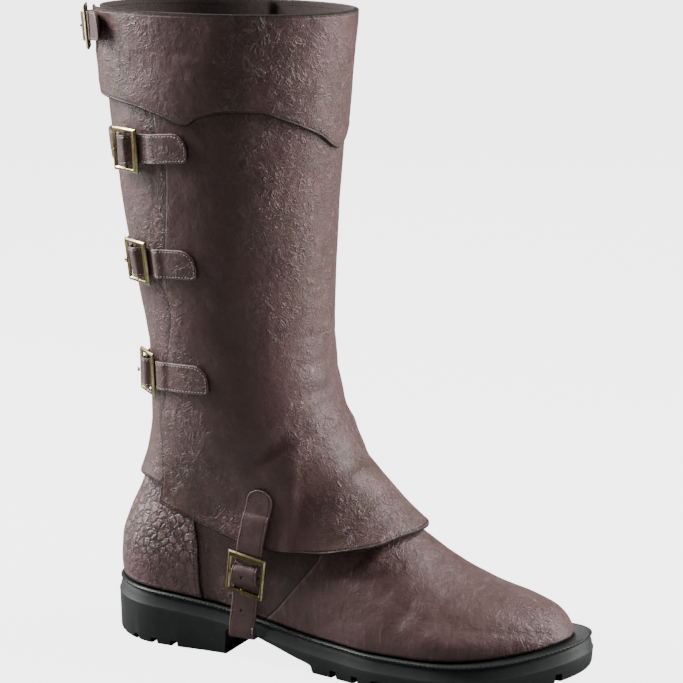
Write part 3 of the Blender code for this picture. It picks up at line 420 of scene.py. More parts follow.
leatherTone = {
    "mauve": tint(97, 71, 69),
    "olive": tint(92, 74, 62),
    "pink": tint(122, 86, 88),
    "deep": tint(56, 41, 40),
    # this tone serves rubbed streaks and also the painted highlight on crackle lines and pebble tops
    "highlight_and_rub": tint(186, 158, 152),
    "edge": tint(142, 118, 112),
}


def leatherLook(name, pebble=0.0, streak=0.0, rim="dark", vamp=False):
    look = Look(name, roughness=0.5)
    where, mix, band, tone = look.place(), look.mix, look.band, leatherTone
    # crackle relief, and also where the painted highlights and painted pebble shade show; kept low where the lamps
    # leave the leather dark
    crackle_and_sheen = look.attribute("crackle_and_sheen")
    drift = look.noise(where, 70.0, 2.0, 0.5)
    bent = look.shift(where, drift[1], 0.020)

    def curlLines(scale, turns, low, high):  # raised worm-like lines along the level lines of a noise
        level = look.noise(bent, scale, 1.0, 0.45, 0.8)[0]
        wave = look.node("ShaderNodeMath", {"operation": "PINGPONG"}, {0: level * turns, 1: 0.5})[0]
        return band(wave, low, high)

    broken = band(look.noise(where, 190.0, 2.0, 0.6)[0], 0.38, 0.56)
    patchy = band(look.noise(where, 38.0, 3.0, 0.6)[0], 0.36, 0.58)
    lines = curlLines(150.0, 3.9, 0.29, 0.46) * broken * crackle_and_sheen * (0.15 + 0.85 * patchy)
    fineLines = curlLines(360.0, 3.2, 0.26, 0.47) * crackle_and_sheen * (0.30 + 0.70 * patchy)
    # pebbled cells
    cellEdge = look.cells(look.shift(where, look.noise(where, 150.0, 2.0)[1], 0.006), 235.0 - 55.0 * pebble)
    cellTop = band(cellEdge, 0.0, 0.20)
    grain = look.noise(where, 1500.0, 3.0, 0.7)[0]
    grainCell = look.cells(where, 1150.0)
    # colour
    cloud = look.noise(where, 30.0, 4.0, 0.6, 0.4)[0]
    cloudTwo = look.noise(look.stretch(where, (1.0, 1.0, 0.6)), 64.0, 4.0, 0.65, 0.5)[0]
    colour = mix(band(cloud, 0.46, 0.62) * (0.15 + 0.45 * crackle_and_sheen), tone["mauve"], tone["olive"])
    colour = mix(band(cloudTwo, 0.50, 0.74) * (0.10 + 0.50 * crackle_and_sheen), colour, tone["pink"])
    colour = mix(band(cloudTwo, 0.50, 0.26) * (0.15 + 0.35 * crackle_and_sheen), colour, tone["deep"])
    if streak:
        lengthwise = look.noise(look.stretch(where, (1.0, 0.35, 0.16)), 330.0, 3.0, 0.75, 0.5)[0]
        colour = mix(band(lengthwise, 0.56, 0.74) * streak * 0.5, colour, tone["highlight_and_rub"])
        colour = mix(band(lengthwise, 0.45, 0.30) * streak, colour, tint(40, 28, 28))
    # painted highlight on the raised crackle lines
    colour = mix(lines * 0.20 + fineLines * 0.10, colour, tone["highlight_and_rub"])
    # painted shade in the pebble creases, then a painted highlight on the pebble tops
    colour = mix((1 - cellTop) * crackle_and_sheen * (0.15 + 0.85 * pebble) * 0.36, colour, tone["deep"])
    colour = mix(band(cellEdge, 0.06, 0.30) * crackle_and_sheen * crackle_and_sheen * pebble * 0.34, colour, tone["highlight_and_rub"])
    height = lines * 0.34 + fineLines * 0.13 + cellTop * crackle_and_sheen * (0.03 + 0.40 * pebble)
    colour = mix(look.attribute("shade"), colour, tone["deep"])
    height = height + look.noise(where, 95.0, 3.0, 0.55)[0] * 0.9
    height = height + grain * 0.05 + band(grainCell, 0.0, 0.35) * 0.03
    roughness = 0.42 + 0.12 * grain - 0.08 * lines - 0.10 * pebble * crackle_and_sheen
    if rim:
        edge = look.attribute("edge")
        if rim == "light":
            colour = mix(band(edge, 0.0002, 0.0005) * band(edge, 0.0011, 0.0007) * 0.7, colour, tone["edge"])
            groove = band(edge, 0.0007, 0.0013) * band(edge, 0.0022, 0.0015)
            colour = mix(groove * 0.45, colour, tone["deep"])
        else:
            # painted shadow: a near-black lip along the edge, and painted shade in the groove beside it
            groove = band(edge, 0.0010, 0.0016) * band(edge, 0.0027, 0.0020)
            lipShadow = band(edge, 0.0012, 0.0005)
            colour = mix(lipShadow * 0.92, colour, tint(22, 15, 15))
            roughness = roughness + lipShadow * 0.4
            colour = mix(groove * 0.25, colour, tone["deep"])
        height = height - groove * 0.18
    if vamp:  # the quarter dips under the vamp's edge
        seam = look.attribute("seam")
        height = height + band(seam, -0.0005, 0.0003) * 0.55
        # painted shade over the quarter behind the seam, a painted shadow line at the seam and a painted highlight on
        # the vamp's raised edge
        line = band(seam, -0.0013, -0.0004) * band(seam, 0.0003, -0.0003)
        behind = band(seam, 0.0004, -0.0004) * look.attribute("quarter_shade")
        colour = mix(behind, colour, tone["deep"])
        colour = mix(line * 0.8, colour, tint(28, 20, 20))
        colour = mix(band(seam, 0.0016, 0.0007) * band(seam, 0.0001, 0.0006) * 0.5, colour, tone["edge"])
    if rim == "light":  # punched holes in the straps
        # painted shade fills each punched hole, over a shallow dip
        hole = look.attribute("hole")
        colour = mix(band(hole, 0.0012, 0.0009), colour, tint(12, 8, 8))
        height = height - band(hole, 0.0015, 0.0008) * 0.5
    return look.finish(colour, roughness, height)


leather = leatherLook("crackled leather", pebble=0.0)
strapLeather = leatherLook("strap leather", rim="light")
leatherHeel = leatherLook("pebbled leather", pebble=1.0)
leatherVamp = leatherLook("creased leather", pebble=0.12, streak=0.5, vamp=True)


def liningLook():
    look = Look("lining cloth", roughness=0.9)
    where = look.place()
    weave = look.wave(where, 620.0, 0.6)
    nap = look.noise(where, 700.0, 3.0, 0.7)[0]
    colour = look.mix(nap, tint(52, 42, 40), tint(96, 82, 80))
    return look.finish(colour, None, weave * 0.05 + nap * 0.12)


lining = liningLook()


def rubberLook():
    look = Look("sole rubber", roughness=0.55)
    where = look.place()
    cloud = look.noise(where, 40.0, 4.0, 0.6)[0]
    speck = look.noise(where, 900.0, 3.0, 0.7)[0]
    colour = look.mix(look.band(cloud, 0.4, 0.65), tint(30, 33, 32), tint(38, 42, 41))
    dust = look.band(look.noise(where, 120.0, 4.0, 0.7)[0], 0.60, 0.80)
    colour = look.mix(dust * 0.25, colour, tint(84, 88, 86))
    # painted shade in the slots, the groove and at the floor contact
    colour = look.mix(look.attribute("dark"), colour, tint(18, 20, 20))
    roughness = 0.50 + 0.18 * speck - 0.16 * look.attribute("gloss")
    return look.finish(colour, roughness, speck * 0.05 + cloud * 0.15)


rubber = rubberLook()


def brassLook(name, light, deep, rough):
    look = Look(name, roughness=rough, metallic=1.0)
    where = look.place()
    stain = look.band(look.noise(where, 260.0, 4.0, 0.65)[0], 0.36, 0.66)
    scratch = look.noise(look.stretch(where, (1.0, 1.0, 0.15)), 2200.0, 2.0, 0.6)[0]
    worn = look.attribute("worn")
    flat = look.band(worn, 0.5, 0.3)
    colour = look.mix(stain * 0.55, light, deep)
    colour = look.mix(flat * 0.8, colour, deep)
    colour = look.mix(look.band(worn, 0.6, 0.75) * (1 - 0.5 * stain), colour, tint(222, 210, 164))
    roughness = rough - 0.08 + 0.16 * stain + 0.10 * scratch + 0.12 * flat
    return look.finish(colour, roughness, scratch * 0.02 + stain * 0.04)


brass = brassLook("antique brass", tint(158, 140, 86), tint(78, 66, 34), 0.30)
zipMetal = brassLook("zip brass", tint(168, 156, 132), tint(96, 88, 72), 0.34)


def threadLook(name, colour):
    look = Look(name, roughness=0.75)
    twist = look.noise(look.place(), 2600.0, 2.0)[0]
    shade = look.mix(twist, colour, tuple(0.55 * c for c in colour[:3]) + (1,))
    return look.finish(shade, None, twist * 0.1)


lightThread = threadLook("pale thread", tint(232, 212, 206))
darkThread = threadLook("dark thread", tint(44, 33, 33))
brownThread = threadLook("brown thread", tint(96, 74, 71))


def tapeLook():
    look = Look("zip tape", roughness=0.9)
    rib = look.wave(look.place(), 420.0)
    return look.finish(look.mix(rib, tint(34, 28, 28), tint(66, 56, 54)), None, rib * 0.12)


zipTape = tapeLook()
print("materials made")


# Mesh helpers
def addObject(name, data):
    made = bpy.data.objects.new(name, data)
    bpy.context.scene.collection.objects.link(made)
    return made


def newMesh(name, points, quads, looks, faceLook=None, fields=None, sharp=None):
    mesh = bpy.data.meshes.new(name)
    mesh.from_pydata(np.asarray(points, float).tolist(), [], quads if isinstance(quads, list) else quads.tolist())
    for look in looks:
        mesh.materials.append(look)
    if faceLook is not None:
        mesh.polygons.foreach_set("material_index", np.asarray(faceLook, np.int32))
    for field, values in (fields or {}).items():
        made = mesh.attributes.new(field, "FLOAT", "POINT")
        made.data.foreach_set("value", np.asarray(values, np.float32).ravel())
    mesh.shade_smooth()
    if sharp:
        mesh.set_sharp_from_angle(angle=math.radians(sharp))
    mesh.update()
    return addObject(name, mesh)


def seat(piece, body, slotName, *nodes):
    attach(piece, body)
    if nodes:
        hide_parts(*nodes)
    return piece


def grid(first, second):
    return np.meshgrid(first, second, indexing="ij")


def spread(length, spacing, radius):
    # places from 0 to 1, close together within a rim's radius of each end
    start = radius * np.array([0, 0.10, 0.32, 0.62, 1.0]) / length
    end = (1 - start)[::-1]
    count = max(int((length * (end[0] - start[-1])) / spacing), 3)
    return np.concatenate([start, np.linspace(start[-1], end[0], count + 1)[1:-1], end])


def borderDistance(points, closed=False):
    # how far each grid point lies from the sheet's border, along the surface
    away = []
    for way in (1,) if closed else (1, 0):
        steps = lengthOf(np.diff(points, axis=way))
        run = np.insert(np.cumsum(steps, axis=way), 0, 0.0, axis=way)
        away += [run, np.take(run, [-1], axis=way) - run]
    return np.minimum.reduce(away)


def sheetMesh(
    name, node, points, normals, low, high, looks, fields, relief, closed=False, radius=None, topZ=None, inside=0.0,
):
    # a leather wall between two offsets, its rims rounded; columns run round, rows run up
    columns, rows = points.shape[:2]
    low = np.broadcast_to(np.asarray(low, float), (columns, rows))
    high = np.broadcast_to(np.asarray(high, float), (columns, rows))
    away = borderDistance(points, closed)
    radius = radius or float(np.median(high - low)) / 2
    plump = np.sqrt(np.clip(1 - (1 - np.minimum(away / radius, 1)) ** 2, 0, 1))
    middle, half = 0.5 * (low + high), 0.5 * (high - low)
    outside = points + normals * (middle + half * plump + relief)[..., None]
    behind = relief * (plump > 0) * np.where(away > 0, inside, 1.0)
    inner = points + normals * (middle - half * plump + behind)[..., None]
    inner[away <= 0] = outside[away <= 0]
    if topZ is not None:
        outside[..., 2] = np.minimum(outside[..., 2], topZ)
        inner[..., 2] = np.minimum(inner[..., 2], topZ)
    index = np.arange(columns * rows).reshape(columns, rows)
    back = np.where(away <= 0, index, index + columns * rows)
    spans = np.arange(columns if closed else columns - 1)
    following = (spans + 1) % columns
    front, rear = [
        np.stack([face[spans][:, a], face[following][:, a], face[following][:, b], face[spans][:, b]], axis=-1)
        for face, a, b in ((index, slice(None, -1), slice(1, None)), (back, slice(1, None), slice(None, -1)))
    ]
    front, rear = front.reshape(-1, 4), rear.reshape(-1, 4)
    faceLook = np.concatenate([np.zeros(len(front)), np.full(len(rear), min(1, len(looks) - 1))]).astype(int)
    verts = np.concatenate([outside.reshape(-1, 3), inner.reshape(-1, 3)])
    carried = {"edge": np.concatenate([away.ravel(), np.full(away.size, farAway)])}
    for field, values in fields.items():
        values = np.broadcast_to(np.asarray(values, float), (columns, rows)).ravel()
        carried[field] = np.concatenate([values, values])
    placed = newMesh(name, verts, np.concatenate([front, rear]), looks, faceLook, carried)
    tidy = bmesh.new()
    tidy.from_mesh(placed.data)
    loose = [v for v in tidy.verts if not v.link_faces]
    bmesh.ops.delete(tidy, geom=loose, context="VERTS")
    tidy.to_mesh(placed.data)
    tidy.free()
    return seat(placed, "boot", "brown_leather", node)


def valueNoise(points, size, seed):
    # smooth noise in space, -1 to 1, with lumps about size across
    cell = points / size
    base = np.floor(cell).astype(np.int64)
    part = cell - base
    part = part * part * (3 - 2 * part)
    total = 0.0
    for dx in (0, 1):
        for dy in (0, 1):
            for dz in (0, 1):
                x, y, z = base[..., 0] + dx, base[..., 1] + dy, base[..., 2] + dz
                mixed = (x * 73856093) ^ (y * 19349663) ^ (z * 83492791) ^ (seed * 2654435761)
                mixed = (mixed ^ (mixed >> 13)) * 1274126177
                mixed = (mixed ^ (mixed >> 16)) & 0xFFFF
                weight = np.where(dx, part[..., 0], 1 - part[..., 0])
                weight = weight * np.where(dy, part[..., 1], 1 - part[..., 1])
                weight = weight * np.where(dz, part[..., 2], 1 - part[..., 2])
                total = total + weight * (mixed / 32767.5 - 1)
    return total


def lumps(points, *layers):  # layers: depth, size, seed
    return sum(depth * valueNoise(points, size, seed) for depth, size, seed in layers)


def folds(points, creases, at):
    # creases: depth and width in mm, side, then the line's (x, z) in mm; each fades towards its ends
    field = np.zeros(points.shape[:2])
    for depth, width, side, line in creases:
        spots = np.array(line, float) / 1000
        spaced = np.linspace(0, len(line) - 1, 4 * len(line))
        xs = np.interp(spaced, np.arange(len(line)), spots[:, 0])
        zs = np.interp(spaced, np.arange(len(line)), spots[:, 1])
        run = np.stack([xs, at(xs, zs, float(side)), zs], axis=1)
        nearest = np.full(points.shape[:2], farAway)
        placeOn = np.zeros(points.shape[:2])
        for i in range(len(run) - 1):
            start, step = run[i], run[i + 1] - run[i]
            share = np.clip(((points - start) @ step) / max(float(step @ step), 1e-12), 0, 1)
            far = lengthOf(points - start - share[..., None] * step)
            closer = far < nearest
            nearest = np.where(closer, far, nearest)
            placeOn = np.where(closer, (i + share) / (len(run) - 1), placeOn)
        fade = np.sin(math.pi * np.clip(placeOn, 0.0, 1.0)) ** 0.7
        field += depth / 1000 * fade * np.exp(-((nearest / (width / 1000)) ** 2))
    return field


# Camera at the photograph's angle
view = {"turn": 26.06, "lift": 12.263, "far": 1.4835, "target": (0.1045, 0.0, 0.1918), "lens": 132.67}
cameraData = bpy.data.cameras.new("camera")
cameraData.lens = view["lens"]
cameraData.sensor_width = 36.0
cameraData.clip_end = 30.0
camera = addObject("camera", cameraData)
turn, lift = math.radians(view["turn"]), math.radians(view["lift"])
toCamera = Vector((math.sin(turn) * math.cos(lift), -math.cos(turn) * math.cos(lift), math.sin(lift)))
camera.location = Vector(view["target"]) + toCamera * view["far"]
camera.rotation_euler = toCamera.to_track_quat("Z", "Y").to_euler()
bpy.context.scene.camera = camera


# Sole unit: wall, sloping band, groove and a glossy rim, with the arch and the lug slots cut out
soleDetail = {
    "steps": 150, "heelSlots": (0.038, 0.086, 0.133, 0.179),
    "foreSlots": (0.545, 0.592, 0.639, 0.686, 0.733, 0.780, 0.828, 0.877, 0.925, 0.970),
    "slotWidth": 0.0045, "slotReach": 0.013, "foreDepth": 0.0052, "heelDepth": 0.0040,
    "cutterOut": 0.004, "cutterTall": 0.020,
}


def outline(inset, count):
    places = (1 - np.cos(np.linspace(0, math.pi, count + 1))) / 2
    outer, swing = planHalf(places, -1, inset)
    inner, _ = planHalf(places, 1, inset)
    xs = heelBack + inset + places * (sole["length"] - 2 * inset)
    return np.stack([xs, swing - outer], axis=1), np.stack([xs, swing + inner], axis=1)


def soleTop(x):
    return feather(x) - gap


def soleRing(inset, heightOf, count):
    lateral, medial = outline(inset, count)
    ring = np.concatenate([lateral, medial[-2:0:-1]])
    return np.concatenate([ring, heightOf(ring[:, 0])[:, None]], axis=1)


def ringStack(name, levels, count, looks, sharp):
    rings = [soleRing(inset, heightOf, count) for inset, heightOf in levels]
    size = len(rings[0])
    faces = []
    for level in range(len(rings) - 1):
        for i in range(size):
            k = (i + 1) % size
            faces.append([level * size + i, level * size + k, (level + 1) * size + k, (level + 1) * size + i])
    for base, flip in ((0, True), ((len(rings) - 1) * size, False)):
        for i in range(count):
            face = list(dict.fromkeys([base + i, base + i + 1, base + (size - i - 1) % size, base + (size - i) % size]))
            faces.append(face[::-1] if flip else face)
    return newMesh(name, np.concatenate(rings), faces, looks, sharp=sharp)


band = sole["rim"] + sole["band"]
under = lambda drop: (lambda x: soleTop(x) - drop)
above = lambda rise: (lambda x: tread(x) + rise)
# inset from the sole's outline, height
soleLevels = (
    (0.0034, above(0.0)), (0.0022, above(0.0002)), (0.0014, above(0.0010)), (0.0008, above(0.0026)),
    (0.0003, under(band + 0.0022)), (0.0001, under(band + 0.0006)), (0.0003, under(band + 0.0001)),
    (0.0006, under(band - 0.0003)), (0.0014, under(0.0050)), (0.0022, under(0.0029)), (0.0025, under(0.0025)),
    (0.0025, under(0.0022)), (0.0017, under(0.0020)), (0.0013, under(0.0014)), (0.0014, under(0.0008)),
    (0.0019, under(0.0003)), (0.0028, under(0.0)), (0.0040, under(0.0004)),
)
soleUnit = ringStack("sole_unit", soleLevels, soleDetail["steps"], [rubber], None)


def boxCorners(size, centre, turnBy):
    corners = []
    for x in (-0.5, 0.5):
        for y in (-0.5, 0.5):
            for z in (-0.5, 0.5):
                corners.append(turnBy @ Vector((x * size[0], y * size[1], z * size[2])) + Vector(centre))
    return corners, [(0, 1, 3, 2), (4, 6, 7, 5), (0, 4, 5, 1), (2, 3, 7, 6), (0, 2, 6, 4), (1, 5, 7, 3)]


lateralEdge, medialEdge = outline(0.0, 400)
cutVerts, cutFaces = [], []
for edge in (lateralEdge, medialEdge):
    for place in soleDetail["heelSlots"] + soleDetail["foreSlots"]:
        row = min(max(int(np.argmin(np.abs(alongOf(edge[:, 0]) - place))), 2), len(edge) - 3)
        run = Vector((*(edge[row + 2] - edge[row - 2]), 0)).normalized()
        inward = Vector((-run.y, run.x, 0))
        if inward.dot(Vector(((0.03 if place < 0.3 else 0.15) - edge[row][0], -edge[row][1], 0))) < 0:
            inward = -inward
        deep = soleDetail["heelDepth"] if place < 0.3 else soleDetail["foreDepth"]
        out, tall = soleDetail["cutterOut"], soleDetail["cutterTall"]
        middle = Vector((*edge[row], 0)) + inward * (soleDetail["slotReach"] / 2 - out)
        middle.z = float(tread(edge[row][0])) + deep - tall / 2
        basis = Matrix((inward, run, Vector((0, 0, 1)))).transposed()
        size = (soleDetail["slotReach"] + 2 * out, soleDetail["slotWidth"], tall)
        corners, faces = boxCorners(size, middle, basis)
        cutFaces += [[len(cutVerts) + i for i in face] for face in faces]
        cutVerts += [tuple(corner) for corner in corners]
breastX = heelBack + sole["heelBlock"]
archEndX = heelBack + 0.492 * sole["length"]
archRows = ((0.0, 0.90), (0.06, 1.0), (0.25, 0.96), (0.55, 0.72), (0.80, 0.47), (0.96, 0.34), (1.0, 0.28))


def archTop(share):
    return sole["breast"] * float(smoothRows(archRows, 1, share))


belowFloor = -0.01
archSide = [(breastX - 0.0015, belowFloor)]
archSide += [(breastX + s * (archEndX - breastX), archTop(s)) for s in np.linspace(0, 1, 25)]
archSide.append((archEndX + 0.0035, belowFloor))
sides = len(archSide)
archVerts = [(x, y, z) for y in (-0.11, 0.11) for x, z in archSide]
archFaces = [list(range(sides))[::-1], list(range(sides, 2 * sides))]
archFaces += [[i, (i + 1) % sides, sides + (i + 1) % sides, sides + i] for i in range(sides)]


def cutAway(target, name, verts, faces):
    tool = newMesh(name, verts, faces, [])
    fixed = bmesh.new()
    fixed.from_mesh(tool.data)
    bmesh.ops.recalc_face_normals(fixed, faces=fixed.faces)
    fixed.to_mesh(tool.data)
    fixed.free()
    boolean = target.modifiers.new(name, "BOOLEAN")
    boolean.operation, boolean.solver, boolean.object = "DIFFERENCE", "EXACT", tool
    return tool


def settle(piece, tools=()):
    # the evaluated shape becomes the piece's own mesh, and its modifiers go
    mesh = bpy.data.meshes.new_from_object(piece.evaluated_get(bpy.context.evaluated_depsgraph_get()))
    piece.modifiers.clear()
    piece.data = mesh
    for tool in tools:
        bpy.data.objects.remove(tool)
    return piece


tools = [cutAway(soleUnit, "archTool", archVerts, archFaces), cutAway(soleUnit, "lugTool", cutVerts, cutFaces)]
bpy.context.view_layer.update()
settle(soleUnit, tools)


def field(piece, name, values):
    made = piece.data.attributes.get(name) or piece.data.attributes.new(name, "FLOAT", "POINT")
    made.data.foreach_set("value", np.asarray(values, np.float32))


def corners(piece):
    co = np.zeros(len(piece.data.vertices) * 3, np.float32)
    piece.data.vertices.foreach_get("co", co)
    return co.reshape(-1, 3).astype(float)


co = corners(soleUnit)
side = np.where(co[:, 1] - toeCentre * ease(0.5, 1.0, alongOf(co[:, 0])) > 0, 1.0, -1.0)
own, swing = planHalf(alongOf(co[:, 0]), side, 0.0)
depthIn = own - np.abs(co[:, 1] - swing)
fromTop = soleTop(co[:, 0]) - co[:, 2]
slotShade = ease(0.0025, 0.0060, depthIn) * (fromTop > 0.006)
floorShade = ease(0.0010, 0.0, co[:, 2] - tread(co[:, 0]))
grooveShade = np.abs(fromTop - 0.0024) < 0.0003
field(soleUnit, "gloss", ease(0.0030, 0.0020, fromTop))
# painted shade in the lug slots, along the floor contact and in the groove
field(soleUnit, "dark", np.clip(slotShade + 0.85 * floorShade + 0.5 * grooveShade, 0, 1))
soleUnit.data.shade_smooth()
soleUnit.data.set_sharp_from_angle(angle=math.radians(32))
seat(soleUnit, "boot", "sole_rubber", "outsole")
print("sole unit", len(soleUnit.data.polygons), "faces")

# Ankle boot
upperDetail = {"columns": 300, "spacing": 0.0013, "zipTurn": 0.47}
vampSeam = np.array([
    (66, 21), (70, 25), (80, 34), (91, 47), (100, 58), (106, 66), (109, 74), (112, 84), (116, 94), (119, 104),
    (121, 112),
], float) / 1000


def beforeSeam(x, z):
    # distance in front of the vamp's seam in the side view, negative behind it
    nearest = np.full(x.shape, farAway)
    sign = np.ones(x.shape)
    for (ax, az), (bx, bz) in zip(vampSeam[:-1], vampSeam[1:]):
        dx, dz = bx - ax, bz - az
        share = np.clip(((x - ax) * dx + (z - az) * dz) / (dx * dx + dz * dz), 0, 1)
        far = np.hypot(x - ax - share * dx, z - az - share * dz)
        closer = far < nearest
        nearest = np.where(closer, far, nearest)
        sign = np.where(closer, np.sign((x - ax) * dz - (z - az) * dx), sign)
    return nearest * sign


vampCreases = (
    (-0.9, 2.6, -1, [(128, 64), (136, 72), (141, 82)]),
    (-0.8, 2.2, -1, [(138, 58), (145, 66), (150, 75)]),
    (0.6, 2.4, -1, [(133, 60), (141, 69), (146, 78)]),
    (-0.5, 2.0, -1, [(150, 50), (155, 60), (158, 69)]),
    (-0.6, 3.0, -1, [(160, 34), (166, 46), (170, 58)]),
    (-0.5, 3.0, -1, [(178, 32), (184, 44), (187, 56)]),
    (0.5, 4.0, -1, [(170, 34), (176, 46), (179, 58)]),
    (-0.5, 3.5, -1, [(110, 26), (120, 34), (134, 38)]),
    (-0.9, 2.6, 1, [(128, 62), (136, 70), (141, 80)]),
    (-0.7, 2.4, 1, [(146, 48), (152, 58), (155, 68)]),
    (-0.6, 3.0, 1, [(160, 34), (166, 46), (170, 56)]),
    (-0.9, 3.2, -1, [(20, 92), (34, 84), (50, 86)]),
    (-0.8, 3.0, 1, [(20, 92), (34, 84), (50, 86)]),
)
turns = -1 + 2 * np.arange(upperDetail["columns"]) / upperDetail["columns"]
rises = spread(upper["height"], upperDetail["spacing"], 0.0011)
turnGrid, riseGrid = grid(turns, rises)
points, normals = withNormals(upperSurface, turnGrid, riseGrid)
seamAway = beforeSeam(points[..., 0], points[..., 2])
inFront = ease(-0.0006, 0.0006, seamAway)
edgeFade = ease(0.002, 0.010, points[..., 2] - feather(points[..., 0])) * ease(1.0, 0.93, riseGrid)
heelKeep = ease(0.29, 0.37, np.abs(turnGrid)) + ease(0.60, 0.64, riseGrid)
relief = folds(points, vampCreases, upperAt) * edgeFade
uneven = lumps(points, (0.00055, 0.022, 3), (0.00025, 0.009, 5))
relief += edgeFade * np.clip(heelKeep, 0, 1) * uneven
onZip = np.abs(turnGrid - upperDetail["zipTurn"]) < 0.07
relief = np.where(onZip, np.minimum(relief, 0), relief) * np.clip(heelKeep, 0, 1)
toeArea = ease(0.205, 0.245, points[..., 0])
wrinkled = np.exp(-(((points[..., 0] - 0.140) / 0.016) ** 2 + ((points[..., 2] - 0.074) / 0.012) ** 2))
relief += 0.00035 * wrinkled * valueNoise(points * np.array([2.4, 1.0, 0.8]), 0.0048, 8)
quarterCrackle = 0.5 * (1 - inFront) * ease(0.07, 0.05, points[..., 0])
sheetMesh(
    "upper_skin", "upper", points, normals, -upper["wall"], 0.0, [leatherVamp, lining],
    {
        "crackle_and_sheen": np.clip(0.18 + 0.85 * toeArea + 0.8 * wrinkled + quarterCrackle, 0, 1),
        "seam": seamAway,
        # painted shade over the quarter, deeper forward of the stirrup
        "quarter_shade": 0.10 + 0.65 * ease(0.055, 0.068, points[..., 0]),
    },
    relief, closed=True,
)

counterDetail = {
    "edge": 0.3235, "top": 0.585, "thickness": 0.0011, "low": 0.008,
    "round": 0.150, "tall": 0.066, "spacing": 0.0012, "rim": 0.0005,
}
across, up = [spread(counterDetail[way], counterDetail["spacing"], counterDetail["rim"]) for way in ("round", "tall")]
turnGrid, riseGrid = grid(2 * across - 1, up)


def counterPlace(turnShare, riseShare):
    low = counterDetail["low"]
    return turnShare * counterDetail["edge"], low + riseShare * (counterDetail["top"] - low)


def skived(riseShare):  # the counter thins out towards its top
    return counterDetail["thickness"] * (1 - 0.55 * ease(0.55, 0.85, riseShare))


points, normals = withNormals(upperSurface, *counterPlace(turnGrid, riseGrid))
uneven = lumps(points, (0.00022, 0.016, 11), (0.00012, 0.006, 12))
sheetMesh(
    "counter_skin", "counter", points, normals, overlayGap, overlayGap + skived(riseGrid), [leatherHeel],
    # crackle grows towards the counter's top, which brightens the painted highlights on the pebble tops there
    {"crackle_and_sheen": 0.35 + 0.65 * ease(0.045, 0.066, points[..., 2])},
    np.maximum(uneven, -0.0002) * ease(0.0, 0.004, borderDistance(points)) * ease(0.9, 0.6, riseGrid),
    radius=counterDetail["rim"],
)
print("ankle boot made")

# Gaiter: the rear panel lies under the front one
panelOut = overlayGap + gaiter["wall"]
gaiterDetail = {"spacing": 0.0017, "rim": 0.0009, "tall": 0.285, "frontRound": 0.300, "backRound": 0.190}
columnsFront, columnsBack = 185, 112
# the strip down the outer side that the lamps leave dark; the painted crackle highlights are thinned there along with
# the crackle
unlitHalf = 0.026  # half the width of the less crackled strip down the outer side
gaiterCreases = (
    (-1.9, 6.5, -1, [(62, 118), (78, 132), (92, 146), (102, 158)]),
    (1.4, 6.0, -1, [(74, 116), (90, 129), (101, 141), (108, 150)]),
    (-1.7, 5.5, -1, [(92, 104), (106, 114), (118, 124), (124, 132)]),
    (0.9, 5.0, -1, [(102, 100), (116, 108), (128, 116)]),
    (-0.8, 4.0, -1, [(116, 92), (127, 99), (138, 106)]),
    (-0.6, 3.0, -1, [(84, 158), (94, 162), (103, 168)]),
    (-0.5, 2.6, -1, [(86, 178), (95, 180), (104, 185)]),
    (0.5, 3.0, -1, [(84, 168), (94, 171), (103, 176)]),
    (-0.5, 2.6, -1, [(84, 196), (93, 197), (101, 200)]),
    (-0.5, 3.5, -1, [(28, 150), (40, 158), (54, 160)]),
    (0.5, 5.0, -1, [(28, 128), (42, 134), (58, 132)]),
    (-0.6, 5.0, -1, [(30, 112), (46, 116), (60, 110)]),
    (-1.1, 7.0, 1, [(62, 118), (78, 132), (92, 146), (102, 158)]),
    (1.0, 6.0, 1, [(74, 116), (90, 129), (101, 141), (108, 150)]),
    (-1.0, 6.0, 1, [(92, 104), (106, 114), (118, 124), (124, 132)]),
    (-0.6, 3.5, 1, [(84, 170), (94, 173), (103, 178)]),
    (-0.5, 3.0, 1, [(84, 192), (93, 193), (101, 197)]),
)
strapBands = ((0.957, 0.966), (0.713, 0.728), (0.479, 0.486), (0.235, 0.243))


def strapClear(points, turn):
    # 0 where a strap lies on the panel, 1 away from it
    free = np.ones(points.shape[:2])
    for low, high in strapBands:
        z = gaiter["hemBack"] + 0.5 * (low + high) * (gaiter["top"] - gaiter["hemBack"])
        far = np.abs(points[..., 2] - z)
        free = np.minimum(free, np.maximum(ease(0.011, 0.017, far), ease(0.53, 0.60, np.abs(turn))))
    return free


rises = spread(gaiterDetail["tall"], gaiterDetail["spacing"], gaiterDetail["rim"])
shares = spread(gaiterDetail["frontRound"], gaiterDetail["frontRound"] / columnsFront, gaiterDetail["rim"])
shareGrid, riseGrid = grid(shares, rises)
start = panelEdge(riseGrid)
turnGrid = wrapTurn(start + shareGrid * (farSeam - start))
points, normals = withNormals(gaiterSurface, turnGrid, riseGrid)
fromRim = borderDistance(points)
clear = strapClear(points, turnGrid) * ease(0.314, 0.296, points[..., 2]) * ease(0.0, 0.006, fromRim)
stirrupClear = np.maximum(ease(0.012, 0.018, np.abs(points[..., 0] - 0.070)), ease(0.108, 0.116, points[..., 2]))
relief = folds(points, gaiterCreases, gaiterAt) * clear * stirrupClear
relief += clear * stirrupClear * lumps(points, (0.0006, 0.034, 21), (0.00028, 0.013, 22))
hemWave = 0.0004 * valueNoise(points, 0.012, 23) * ease(0.010, 0.0, fromRim) * (points[..., 2] < 0.11) * stirrupClear
midLine = np.interp(points[..., 2], [0.05, 0.09, 0.13, 0.25, 0.38], [0.105, 0.085, 0.066, 0.042, 0.034])
